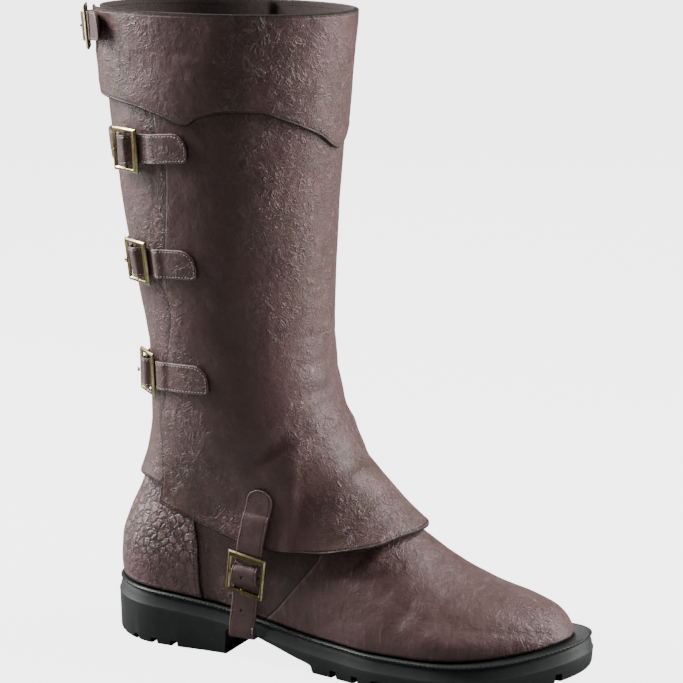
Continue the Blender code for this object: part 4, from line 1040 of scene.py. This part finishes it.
# the strip the lamps leave dark: less crackle and fewer painted crackle highlights
mid = np.exp(-(((points[..., 0] - midLine) / unlitHalf) ** 4)) * (points[..., 1] < 0)
sheetMesh(
    "gaiter_front_skin", "gaiter_front", points, normals, overlayGap, panelOut, [leather, lining],
    {"crackle_and_sheen": np.clip(0.95 - 0.85 * mid, 0.08, 1)}, relief + hemWave, inside=0.6, topZ=gaiter["top"],
)

shares = spread(gaiterDetail["backRound"], gaiterDetail["backRound"] / columnsBack, gaiterDetail["rim"])
shareGrid, riseGrid = grid(shares, rises)
start = panelEdge(riseGrid) - 0.13
turnGrid = start + shareGrid * (gaiter["seam"] + 0.05 - start)
backLow = rearHem(turnGrid)
points, normals = withNormals(gaiterSurface, turnGrid, backLow + riseGrid * (1 - backLow))
lapped = (turnGrid < panelEdge(riseGrid) + 0.03) | (turnGrid > gaiter["seam"] - 0.03)
clear = strapClear(points, turnGrid) * ease(0.0, 0.006, borderDistance(points)) * np.where(lapped, 0, 1)
relief = clear * lumps(points, (0.0005, 0.030, 31), (0.00025, 0.012, 32))
# the front panel's edge throws a narrow shadow on the rear one
lapLine, _ = withNormals(gaiterSurface, panelEdge(rises), rises)
fromEdge = np.full(points.shape[:2], farAway)
for spot in lapLine:
    fromEdge = np.minimum(fromEdge, lengthOf(points - spot))
relief = np.maximum(relief, -0.0004)
sheetMesh(
    "gaiter_back_skin", "gaiter_back", points, normals, -gaiter["wall"], 0.0, [leather, lining],
    {"crackle_and_sheen": 0.95, "shade": 0.9 * ease(0.0052, 0.0008, fromEdge)}, relief, inside=0.6, topZ=gaiter["top"],
)

cuffDetail = {
    "height": 0.0565, "thickness": 0.0015, "start": -0.10, "end": farSeam + 0.10,
    "round": 0.345, "tall": 0.060, "spacing": 0.0016, "rim": 0.0008, "points": (0.314, 0.672),
}
# share of the way round, share of the cuff's height
cuffRows = (
    (0.000, 0.900), (0.081, 0.920), (0.196, 0.973), (0.257, 1.050), (0.314, 1.140), (0.340, 1.060),
    (0.398, 1.000), (0.456, 0.996), (0.519, 1.085), (0.600, 1.237), (0.672, 1.400), (0.744, 1.237),
    (0.825, 1.085), (0.890, 0.996), (1.000, 0.990),
)
cuffIn = panelOut + overlayGap


def cuffPlace(share, up):
    turn = wrapTurn(cuffDetail["start"] + share * (cuffDetail["end"] - cuffDetail["start"]))
    return turn, gaiter["top"] - (1 - up) * cuffDetail["height"] * smoothRows(cuffRows, 1, share)


shares, ups = [spread(cuffDetail[way], cuffDetail["spacing"], cuffDetail["rim"]) for way in ("round", "tall")]
shareGrid, upGrid = grid(np.sort(np.concatenate([shares, cuffDetail["points"]])), ups)
turnGrid, levelGrid = cuffPlace(shareGrid, upGrid)
points, normals = levelPoints(turnGrid, levelGrid)
clear = strapClear(points, turnGrid) * ease(0.0, 0.008, borderDistance(points))
relief = clear * (0.0007 * (valueNoise(points, 0.040, 41) + 0.6) + 0.0003 * valueNoise(points, 0.014, 42))
# the strip the lamps leave dark: less crackle and fewer painted crackle highlights
mid = np.exp(-(((points[..., 0] - 0.034) / unlitHalf) ** 4)) * (points[..., 1] < 0)
sheetMesh(
    "cuff_skin", "cuff", points, normals, cuffIn, cuffIn + cuffDetail["thickness"], [leather, lining],
    {"crackle_and_sheen": 0.95 - 0.80 * mid}, np.maximum(relief, -0.0003), topZ=gaiter["top"],
)
print("gaiter made")

# Straps, frames and prongs
strap = {"width": 0.0175, "thickness": 0.0017, "tip": 0.0102, "flare": 0.0045, "root": 0.36}
buckle = {"height": 0.0260, "length": 0.0240, "bar": 0.0026, "frontBar": 0.0040, "thickness": 0.0018, "prong": 0.0016}
tab = {"thickness": 0.0009}
strapGap = 2 * gap
frameSeat = strapGap + tab["thickness"] + gap + strap["thickness"] + gap
frameDrop = 0.0003
humpRise = frameSeat - frameDrop + buckle["thickness"] + gap - strapGap
rearReach, frontReach = [buckle["length"] / 2 - bar - 0.0008 for bar in (buckle["bar"], buckle["frontBar"])]
# name, buckle's turn and rise, tip's turn and rise, turn and height of the step onto the front panel
strapRows = (
    ("1", -0.120, 0.957, -0.275, 0.966, -0.090, cuffIn + cuffDetail["thickness"]),
    ("2", -0.314, 0.713, -0.524, 0.728, -0.430, panelOut),
    ("3", -0.296, 0.479, -0.529, 0.486, -0.400, panelOut),
    ("4", -0.235, 0.235, -0.525, 0.243, -0.328, panelOut),
)
tipShape = ((0.0, 1.0), (0.29, 0.97), (0.61, 0.80), (0.86, 0.45), (1.0, -0.15))
strapRim = strap["thickness"] / 2
stitchLines = {"pale": [], "brown": [], "dark": [], "sole": []}
sunk = 0.00005  # how far a stitch lies below the leather's face


def hump(distance, crown, reach):
    return 1 - ease(crown, reach, np.abs(distance))


def turnLength(z, turn):
    before, after = [gaiterLevel(np.array([turn + step]), np.array([z])) for step in (turnStep, -turnStep)]
    return float(np.linalg.norm(before - after)) / (2 * turnStep)


def placedFrame(turn, z, offset):
    point, normal = withNormals(gaiterLevel, np.array([turn]), np.array([z]), limits=(0.0, gaiter["top"]))
    out = Vector(normal[0])
    before, after = [gaiterLevel(np.array([turn + step]), np.array([z]))[0] for step in (turnStep, -turnStep)]
    ahead = Vector(after - before)
    ahead = (ahead - out * ahead.dot(out)).normalized()
    return Matrix((ahead, out.cross(ahead), out)).transposed(), Vector(point[0]) + out * offset


def frameMesh(name, length, height, basis, centre):
    # a bevelled frame with a middle bar and a wide bar on the tip's side
    bar, front = buckle["bar"], buckle["frontBar"]
    xs = (-length / 2, -length / 2 + bar, -bar / 2, bar / 2, length / 2 - front, length / 2)
    ys = (-height / 2, -height / 2 + bar, height / 2 - bar, height / 2)
    filled = {(i, j) for i in range(5) for j in range(3)} - {(1, 1), (3, 1)}
    verts = [(x, y, z * buckle["thickness"]) for z in (0, 1) for x in xs for y in ys]
    index = lambda level, i, j: level * 24 + i * 4 + j
    faces = []
    for i, j in sorted(filled):
        around = ((i, j), (i + 1, j), (i + 1, j + 1), (i, j + 1))
        faces.append([index(1, *c) for c in around])
        faces.append([index(0, *c) for c in reversed(around)])
        for (di, dj), a, b in (((0, -1), 0, 1), ((1, 0), 1, 2), ((0, 1), 2, 3), ((-1, 0), 3, 0)):
            if (i + di, j + dj) not in filled:
                faces.append([index(0, *around[a]), index(0, *around[b]), index(1, *around[b]), index(1, *around[a])])
    piece = newMesh(name, verts, faces, [brass])
    shaped = bmesh.new()
    shaped.from_mesh(piece.data)
    bmesh.ops.recalc_face_normals(shaped, faces=shaped.faces)
    bmesh.ops.dissolve_limit(shaped, angle_limit=0.01, verts=shaped.verts, edges=shaped.edges)
    high = 0.9 * buckle["thickness"]
    for offset, segments, least, lowest in ((0.0009, 1, 0.5, high), (0.00016, 2, 0.35, -1.0)):
        picked = [e for e in shaped.edges if e.calc_face_angle(0) > least and min(v.co.z for v in e.verts) > lowest]
        bmesh.ops.bevel(
            shaped, geom=picked, offset=offset, offset_type="OFFSET", segments=segments, profile=0.5, affect="EDGES",
        )
    shaped.to_mesh(piece.data)
    shaped.free()
    co = corners(piece)
    level = co[:, 2] / buckle["thickness"]
    field(piece, "worn", np.where(level > 0.97, 0.25, np.where(level > 0.4, 0.75, 0.1)))
    piece.data.shade_smooth()
    piece.data.set_sharp_from_angle(angle=math.radians(28))
    piece.data.transform(Matrix.Translation(centre) @ basis.to_4x4())
    return piece


def rodMesh(name, path, radii, look, sides=12):
    # a round bar along a smooth path, its ends domed
    fine, widths = [], []
    for i in range(len(path) - 1):
        before, after = path[max(i - 1, 0)], path[min(i + 2, len(path) - 1)]
        for step in range(6):
            s = step / 6
            a, b = path[i], path[i + 1]
            first, leave, second, arrive = hermite(s)
            spot = a * first + (b - before) / 2 * leave
            fine.append(spot + b * second + (after - a) / 2 * arrive)
            widths.append(radii[i] + (radii[i + 1] - radii[i]) * s)
    fine.append(path[-1])
    widths.append(radii[-1])
    verts, faces, last = [], [], None
    for i, point in enumerate(fine):
        run = (fine[min(i + 1, len(fine) - 1)] - fine[max(i - 1, 0)]).normalized()
        first = run.orthogonal().normalized() if last is None else (last - run * last.dot(run)).normalized()
        last, second = first, run.cross(first)
        size = widths[i] * (0.72 if i in (0, len(fine) - 1) else 1)
        for k in range(sides):
            angle = 2 * math.pi * k / sides
            verts.append(tuple(point + size * (first * math.cos(angle) + second * math.sin(angle))))
    for i in range(len(fine) - 1):
        for k in range(sides):
            a, b = i * sides + k, i * sides + (k + 1) % sides
            faces.append([a, b, b + sides, a + sides])
    faces.append(list(range(sides))[::-1])
    faces.append(list(range(len(verts) - sides, len(verts))))
    return newMesh(name, verts, faces, [look], fields={"worn": np.full(len(verts), 0.5)}, sharp=50)


def fittings(label, length, height, basis, centre, bar, short, node, prongNode):
    # a frame and the prong on it, whose tip ends short of the frame's far side
    seat(frameMesh("frame_" + label, length, height, basis, centre), "boot", "antique_brass", node)
    half = buckle["prong"] / 2
    spots = [*bar, (-length / 2 + short, 0, buckle["thickness"] + gap + half)]
    made = rodMesh(
        "prong_bar_" + label, [basis @ Vector(spot) + centre for spot in spots],
        [half, half, buckle["prong"] / 2.6], brass,
    )
    seat(made, "boot", "antique_brass", prongNode)


for label, buckleTurn, buckleRise, tipTurn, tipRise, stepTurn, climb in strapRows:
    span = gaiter["top"] - gaiter["hemBack"]
    buckleZ, tipZHere = gaiter["hemBack"] + buckleRise * span, gaiter["hemBack"] + tipRise * span
    perTurn, perTip = turnLength(buckleZ, buckleTurn), turnLength(tipZHere, tipTurn)
    tipShare = strap["tip"] / perTip
    long = (strap["root"] - tipTurn) * perTurn
    along = np.concatenate([
        np.linspace(strap["root"], strap["root"] - 0.0017 / perTurn, 4)[:-1],
        np.linspace(strap["root"] - 0.0017 / perTurn, tipTurn + tipShare, int(long / 0.0011)),
        tipTurn + tipShare * (1 - np.array([0.1, 0.2, 0.3, 0.4, 0.5, 0.6, 0.7, 0.8, 0.87, 0.93, 0.97, 1.0])),
    ])
    toTip = np.clip(1 - (along - tipTurn) / tipShare, 0, 1)
    upperHalf = strap["width"] / 2 * smoothRows(tipShape, 1, toTip)
    lowerHalf = np.full(len(along), strap["width"] / 2) - 0.0012 * ease(0.8, 1.0, toTip)
    upperHalf = np.maximum(upperHalf, -0.15 * strap["width"] / 2)
    tilt = np.clip((buckleTurn - along) / (buckleTurn - tipTurn), 0, 1)
    middle = buckleZ + (tipZHere - buckleZ) * tilt
    climbed = climb * ease(stepTurn + 0.035, stepTurn + 0.005, along)
    tabEnd = buckleTurn - 0.017 / perTurn
    overTab = (tab["thickness"] + 1.2 * gap) * ease(buckleTurn + 0.004 / perTurn, buckleTurn - 0.004 / perTurn, along)
    overTab = overTab * ease(tabEnd - 0.006 / perTurn, tabEnd - 0.001 / perTurn, along)
    past = (along - buckleTurn) * perTurn
    bulge = hump(past, 0.85 * buckle["bar"], np.where(past > 0, rearReach, frontReach))
    rise = strapGap + climbed + np.maximum(overTab, humpRise * bulge)
    if label == "1":
        rise = rise + strap["flare"] * ease(tipTurn + 0.07, tipTurn, along)
    ups = spread(strap["width"], 0.0012, strapRim)
    turnGrid = np.repeat(along[:, None], len(ups), axis=1)
    levelGrid = (middle - lowerHalf)[:, None] + (upperHalf + lowerHalf)[:, None] * ups[None, :]
    points, normals = levelPoints(turnGrid, levelGrid)
    lump = 0.00016 * valueNoise(points, 0.009, 50 + int(label)) * ease(0.0, 0.003, borderDistance(points))
    nearFrame = ease(0.0155, 0.0185, np.abs(past))[:, None]
    low = rise[:, None]
    sheetMesh(
        "strap_skin_" + label, "strap_" + label, points, normals, low, low + strap["thickness"], [strapLeather],
        {"crackle_and_sheen": 0.55, "hole": 1.0}, lump * nearFrame, radius=strapRim,
    )

    # stitch line 1.5 mm in from the edges and round the tip
    inset = 0.0015
    sewn = np.nonzero((toTip <= 0.90) & (along <= strap["root"] - 0.02))[0]
    highs = middle[sewn] + (upperHalf[sewn] - inset * (1 + 0.9 * toTip[sewn]))
    lows = middle[sewn] - (lowerHalf[sewn] - inset)
    order = np.concatenate([sewn, sewn[::-1]])
    where, facing = levelPoints(along[order], np.concatenate([highs, lows[::-1]]))
    stitchLines["pale"].append((where + facing * (rise[order] + strap["thickness"] - sunk)[:, None], facing))

    seatRise = climb if buckleTurn < stepTurn else 0.0
    basis, centre = placedFrame(buckleTurn, buckleZ, seatRise + frameSeat - frameDrop)
    bar = (-0.0052, 0, 0.0046), (-0.0080, 0, 0.0037)
    fittings(label, buckle["length"], buckle["height"], basis, centre, bar, 0.0010, "buckle_" + label, "prong_" + label)
print("straps made")

# Stirrup strap: down the outer side, under the arch and up the inner side
stirrup = {
    "lowX": 0.0580, "lean": 0.185, "tipZ": 0.1085, "endZ": 0.0960, "buckleZ": 0.0560, "tabTop": 0.0900,
    "round": 0.0008, "width": 0.0170, "frameWide": 0.0250, "frameTall": 0.0270, "hemZ": 0.0760,
    "cornerZ": 0.0215, "soleZ": 0.028,
}
halfStirrup = 0.5 * stirrup["width"]


def stirrupX(z):
    return stirrup["lowX"] + stirrup["lean"] * np.maximum(np.asarray(z, float) - 0.020, 0)


def soleSide(x, side):
    edge = medialEdge if side > 0 else lateralEdge
    reach = [np.interp(x + dx, edge[:, 0], np.abs(edge[:, 1])) for dx in (-halfStirrup, halfStirrup)]
    return np.max(reach, axis=0)


def panelSide(z, side):
    x = stirrupX(z)
    reach = [np.abs(gaiterAt(x + dx, z, float(side))) for dx in (-halfStirrup, 0, halfStirrup)]
    return np.max(reach, axis=0) + panelOut + 0.0004


def runOut(z, side):
    nearSole = soleSide(stirrupX(z), side) + strapGap
    onPanel = panelSide(np.maximum(z, stirrup["hemZ"]), side) + strapGap
    share = np.clip((z - stirrup["soleZ"]) / (stirrup["hemZ"] - stirrup["soleZ"]), 0, 1)
    return nearSole * (1 - share) + onPanel * share


def runAt(z, side):
    return float(runOut(np.array(z), side))


archZ = lambda x: archTop((x - breastX) / (archEndX - breastX))
underZ = min(archZ(stirrup["lowX"] + dx) for dx in (-halfStirrup, halfStirrup)) - strapGap
halfFrame = stirrup["frameTall"] / 2 - buckle["bar"] / 2
frameTopZ, frameLowZ = stirrup["buckleZ"] + halfFrame, stirrup["buckleZ"] - halfFrame
tabRoom = tab["thickness"] + gap
planeTop = runAt(frameTopZ, -1) + tabRoom + strap["thickness"] + 2 * gap
planeLow = runAt(frameLowZ, -1) + strap["thickness"] + 2 * gap
planeMiddle = 0.5 * (planeTop + planeLow)
stirrupHump = planeMiddle + buckle["thickness"] + 2 * gap - runAt(stirrup["buckleZ"], -1)
stirrupReach = stirrup["frameTall"] / 2 - buckle["frontBar"] - 0.0008

nearTip = np.array([0, 0.0002, 0.0006, 0.0012, 0.002, 0.003, 0.0042, 0.0056, 0.0072, 0.009])
belowTip = np.linspace(stirrup["tipZ"] - 0.0100, stirrup["cornerZ"], 96)
downZ = np.concatenate([stirrup["tipZ"] - nearTip, belowTip])
tabHere = tabRoom * ease(stirrup["tabTop"] + 0.004, stirrup["tabTop"], downZ)
tabHere = tabHere * ease(stirrup["buckleZ"] - 0.004, stirrup["buckleZ"] + 0.004, downZ)
overBar = stirrupHump * hump(downZ - stirrup["buckleZ"], 0.7 * buckle["bar"], stirrupReach)
outHere = runOut(downZ, -1) + np.maximum(tabHere, overBar)
lateralRun = np.stack([stirrupX(downZ), -outHere, downZ], axis=1)
upZ = np.linspace(stirrup["cornerZ"], stirrup["endZ"], 60)
medialRun = np.stack([stirrupX(upZ), runOut(upZ, 1), upZ], axis=1)


def cornerRun(side):
    edge, radius = runAt(stirrup["cornerZ"], side), stirrup["round"]
    return [
        (stirrup["lowX"], side * (edge - radius * (1 - math.cos(a))), underZ + radius * (1 - math.sin(a)))
        for a in np.radians([15, 35, 55, 75, 90])
    ]


flatY = np.linspace(-runAt(stirrup["cornerZ"], -1) + 0.003, runAt(stirrup["cornerZ"], 1) - 0.003, 40)
flatRun = [(stirrup["lowX"], y, underZ) for y in flatY]
line = np.concatenate([lateralRun, cornerRun(-1), flatRun, cornerRun(1)[::-1], medialRun])
kept = np.concatenate([[True], lengthOf(np.diff(line, axis=0)) > 0.00005])
line = line[kept]
runs = np.gradient(line, axis=0)
runs /= np.linalg.norm(runs, axis=1, keepdims=True)
acrossWay = np.array([1.0, 0, 0]) - runs * runs[:, :1]
acrossWay /= np.linalg.norm(acrossWay, axis=1, keepdims=True)
outward = np.cross(runs, acrossWay)
fromTip = np.concatenate([[0], np.cumsum(lengthOf(np.diff(line, axis=0)))])
roundTip = ((0.0, 0.16), (0.0006, 0.36), (0.0014, 0.56), (0.0038, 0.87), (0.0072, 1.0), (0.02, 1.0))
halfWide = halfStirrup * smoothRows(roundTip, 1, fromTip)
places = 2 * spread(stirrup["width"], 0.0011, strapRim) - 1
points = line[:, None] + acrossWay[:, None] * (halfWide[:, None] * places[None, :])[..., None]
normals = np.repeat(outward[:, None], len(places), axis=1)
holes = ((0.0558, -0.0008), (0.0318, -0.0012))
holeAway = np.ones(points.shape[:2])
for z, aside in holes:
    spot = np.argmin(np.abs(line[:len(downZ), 2] - z))
    holeAway = np.minimum(holeAway, lengthOf(points - line[spot] - np.array([aside, 0, 0])))
sheetMesh(
    "stirrup_skin", "stirrup_strap", points, normals, 0.0, strap["thickness"], [strapLeather],
    {"crackle_and_sheen": 0.15, "hole": holeAway}, 0.0001 * valueNoise(points, 0.008, 61), radius=strapRim,
)

frameUp = Vector((stirrup["lean"] * 2 * halfFrame, planeLow - planeTop, 2 * halfFrame)).normalized()
frameOut = Vector((0, -1, 0))
frameOut = (frameOut - frameUp * frameOut.dot(frameUp)).normalized()
basis = Matrix((frameUp, frameOut.cross(frameUp), frameOut)).transposed()
middle = Vector((float(stirrupX(stirrup["buckleZ"])), -planeMiddle, stirrup["buckleZ"]))
crown = buckle["thickness"] + 3 * gap + strap["thickness"] + buckle["prong"] / 2
bar = (-0.0078, 0, 0.76 * crown), (-0.0094, 0, 0.68 * crown)
fittings(
    "stirrup", stirrup["frameTall"], stirrup["frameWide"], basis, middle, bar, 0.0006,
    "stirrup_buckle", "stirrup_prong",
)
print("stirrup made")

# Stitch lines: along the stirrup, the cuff, the hem, the counter and the sole's rim
inset = 0.0014
count = int(np.searchsorted(fromTip, 0.090))
sewn = slice(2, count)
face = line[sewn] + outward[sewn] * (strap["thickness"] - sunk)
aside = acrossWay[sewn] * (halfWide[sewn] - inset)[:, None]
ways = outward[sewn]
stitchLines["brown"].append((np.concatenate([(face - aside)[::-1], face + aside]), np.concatenate([ways[::-1], ways])))


def raised(found, offset):
    where, facing = found
    return where + facing * np.asarray(offset)[..., None], facing


shares = np.linspace(0.004, 0.996, 260)
turnLine, levelLine = cuffPlace(shares, 0.0)
cuffInset, rimInset = 0.0018, 0.0032
cuffFace = cuffIn + cuffDetail["thickness"] - sunk
stitchLines["brown"].append(raised(levelPoints(turnLine, levelLine + cuffInset), cuffFace))
start, hemRise = float(panelEdge(0.0)), 0.0075
turnLine = wrapTurn(start + np.linspace(0.008, 0.992, 260) * (farSeam - start))
stitchLines["dark"].append(raised(withNormals(gaiterSurface, turnLine, hemRise), panelOut - sunk))
turnLine = np.linspace(start + 0.01, gaiter["seam"] - 0.01, 120)
stitchLines["dark"].append(raised(withNormals(gaiterSurface, turnLine, rearHem(turnLine) + hemRise), -sunk))
for sideNow in (-1, 1):
    ups = np.linspace(0.03, 0.9, 60)
    found = withNormals(upperSurface, *counterPlace(np.full(60, sideNow * 0.972), ups))
    stitchLines["dark"].append(raised(found, overlayGap + skived(ups) - sunk))
# inside the shaft, under the rim
for turnLine, offset in (
    (np.linspace(-0.30, gaiter["seam"] - 0.02, 120), sunk - gaiter["wall"]),
    (wrapTurn(np.linspace(farSeam + 0.10, -0.45, 260)), overlayGap + sunk),
):
    where, facing = raised(levelPoints(turnLine, gaiter["top"] - rimInset), offset)
    stitchLines["dark"].append((where, -facing))
ring = soleRing(0.0013, lambda x: soleTop(x) - 0.0012, 400)
around = np.roll(ring, -1, axis=0) - np.roll(ring, 1, axis=0)
away = np.stack([around[:, 1], -around[:, 0], 0 * around[:, 0]], axis=1)
away /= np.linalg.norm(away, axis=1, keepdims=True)
stitchLines["sole"].append((np.concatenate([ring, ring[:1]]), np.concatenate([away, away[:1]])))


stitchSizes = ("Pitch", "Length", "Width", "Height")


def stitchTree(look):
    tree = bpy.data.node_groups.new("stitch row " + look.name, "GeometryNodeTree")
    face = tree.interface
    face.new_socket("Geometry", in_out="INPUT", socket_type="NodeSocketGeometry")
    for name in stitchSizes:
        face.new_socket(name, in_out="INPUT", socket_type="NodeSocketFloat")
    face.new_socket("Geometry", in_out="OUTPUT", socket_type="NodeSocketGeometry")
    add = tree.nodes.new
    source, sink = add("NodeGroupInput"), add("NodeGroupOutput")
    toCurve, resample = add("GeometryNodeMeshToCurve"), add("GeometryNodeResampleCurve")
    instance = add("GeometryNodeInstanceOnPoints")
    resample.mode = "LENGTH"
    bead = add("GeometryNodeMeshUVSphere")
    bead.inputs["Segments"].default_value, bead.inputs["Rings"].default_value = 8, 4
    bead.inputs["Radius"].default_value = 0.5
    size = add("ShaderNodeCombineXYZ")
    tangent, facing = add("GeometryNodeInputTangent"), add("GeometryNodeInputNamedAttribute")
    facing.data_type = "FLOAT_VECTOR"
    facing.inputs["Name"].default_value = "facing"
    alongRun, upright = add("FunctionNodeAlignRotationToVector"), add("FunctionNodeAlignRotationToVector")
    alongRun.axis, upright.axis, upright.pivot_axis = "X", "Z", "X"
    realize, smooth = add("GeometryNodeRealizeInstances"), add("GeometryNodeSetShadeSmooth")
    paint = add("GeometryNodeSetMaterial")
    paint.inputs["Material"].default_value = look
    join = tree.links.new
    join(source.outputs["Geometry"], toCurve.inputs[0])
    join(toCurve.outputs[0], resample.inputs["Curve"])
    join(source.outputs["Pitch"], resample.inputs["Length"])
    join(resample.outputs[0], instance.inputs["Points"])
    join(bead.outputs["Mesh"], instance.inputs["Instance"])
    for i, name in enumerate(stitchSizes[1:]):
        join(source.outputs[name], size.inputs[i])
    join(size.outputs[0], instance.inputs["Scale"])
    join(tangent.outputs[0], alongRun.inputs["Vector"])
    join(alongRun.outputs[0], upright.inputs["Rotation"])
    join(facing.outputs[0], upright.inputs["Vector"])
    join(upright.outputs[0], instance.inputs["Rotation"])
    join(instance.outputs[0], realize.inputs[0])
    join(realize.outputs[0], smooth.inputs[0])
    join(smooth.outputs[0], paint.inputs[0])
    join(paint.outputs[0], sink.inputs[0])
    return tree


def stitchRow(name, lines, look, sizes, slotName):
    verts, edges, facings = [], [], []
    for path, facing in lines:
        edges += [(k, k + 1) for k in range(len(verts), len(verts) + len(path) - 1)]
        verts += [tuple(p) for p in path]
        facings.append(facing)
    mesh = bpy.data.meshes.new(name)
    mesh.from_pydata(verts, edges, [])
    made = mesh.attributes.new("facing", "FLOAT_VECTOR", "POINT")
    made.data.foreach_set("vector", np.concatenate(facings).astype(np.float32).ravel())
    piece = addObject(name, mesh)
    modifier = piece.modifiers.new("stitches", "NODES")
    modifier.node_group = stitchTree(look)
    for item in modifier.node_group.interface.items_tree:
        if item.in_out == "INPUT" and item.name in stitchSizes:
            modifier[item.identifier] = sizes[stitchSizes.index(item.name)]
    bpy.context.view_layer.update()
    settle(piece)
    return seat(piece, "boot", slotName)


teeth = raised(withNormals(upperSurface, upperDetail["zipTurn"], np.linspace(0.375, 0.955, 70)), 0.00112)
for name, lines, look, sizes, slotName in (
    ("stitches_strap", stitchLines["pale"], lightThread, (0.00215, 0.00165, 0.0005, 0.00042), "brown_leather"),
    ("stitches_stirrup_cuff", stitchLines["brown"], brownThread, (0.0024, 0.0018, 0.00055, 0.00045), "brown_leather"),
    ("stitches_hem_counter", stitchLines["dark"], darkThread, (0.0023, 0.0016, 0.0006, 0.0005), "brown_leather"),
    ("stitches_sole", stitchLines["sole"], rubber, (0.0027, 0.0021, 0.0009, 0.0007), "sole_rubber"),
    ("zip_teeth", [teeth], zipMetal, (0.0017, 0.0011, 0.0036, 0.0008), "zip_metal"),
):
    stitchRow(name, lines, look, sizes, slotName)
print("stitches made")

# The zip, the insole and the chapes keep their solids
plainLeather = leatherLook("plain leather", rim=None)
chapes = [(name, plainLeather) for name in ("tab_1", "tab_2", "tab_3", "tab_4", "stirrup_tab")]
for node, look in (
    ("insole", lining), ("zip_tape", zipTape), ("zip_slider", zipMetal), ("zip_pull", zipMetal), *chapes,
):
    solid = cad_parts[node]
    solid.data.materials.clear()
    solid.data.materials.append(look)

# Studio: soft boxes on either side, a little behind the boot, leave its middle dark
studio = {
    "ambient": 0.045,
    "backdrop": 4.0,
    "lights": (
        # name, place, looks at, width, height, watts
        ("left soft box", (-1.24, -0.16, 0.62), (0.0, 0.0, 0.20), 0.6, 1.2, 19),
        ("right soft box", (1.12, 0.50, 0.55), (0.07, 0.0, 0.20), 0.6, 1.4, 25),
        ("top left soft box", (-0.90, -0.18, 1.00), (-0.02, 0.0, 0.07), 0.4, 0.4, 24),
        ("top soft box", (0.90, 0.35, 1.15), (0.10, 0.0, 0.10), 0.7, 0.7, 12),
        ("back soft box", (-0.6, 1.7, 0.8), (0.05, 0.0, 0.2), 0.8, 0.8, 6),
    ),
}
floorLook = Look("pale floor", roughness=0.9, colour=(0.80, 0.80, 0.80))
speckle = floorLook.noise(floorLook.place(), 30.0, 2.0)[0]
floorMaterial = floorLook.finish(floorLook.mix(speckle, (0.24, 0.24, 0.24, 1), (0.26, 0.26, 0.26, 1)))
seen = floorLook.mix(floorLook.node("ShaderNodeLightPath")[0], (0, 0, 0, 1), (1, 1, 1, 1))
floorLook.tree.links.new(seen.socket, floorLook.shader.inputs["Emission Color"])
floorLook.shader.inputs["Emission Strength"].default_value = studio["backdrop"]
floorHalf = 6
floorCorners = [(x * floorHalf, y * floorHalf, 0) for x, y in ((-1, -1), (1, -1), (1, 1), (-1, 1))]
floor = newMesh("floor", floorCorners, [[0, 1, 2, 3]], [floorMaterial])

world = bpy.data.worlds.new("studio")
bpy.context.scene.world = world
world.use_nodes = True
backdrop = world.node_tree.nodes["Background"]
backdrop.inputs["Color"].default_value = (1, 1, 1, 1)
path = world.node_tree.nodes.new("ShaderNodeLightPath")
glow = world.node_tree.nodes.new("ShaderNodeMapRange")
glow.inputs[3].default_value, glow.inputs[4].default_value = studio["ambient"], studio["backdrop"]
world.node_tree.links.new(path.outputs["Is Camera Ray"], glow.inputs[0])
world.node_tree.links.new(glow.outputs[0], backdrop.inputs["Strength"])

for name, place, aim, width, height, watts in studio["lights"]:
    data = bpy.data.lights.new(name, "AREA")
    data.shape, data.size, data.size_y, data.energy = "RECTANGLE", width, height, watts
    lamp = addObject(name, data)
    lamp.location = place
    lamp.rotation_euler = (Vector(place) - Vector(aim)).to_track_quat("Z", "Y").to_euler()

print("scene ready")
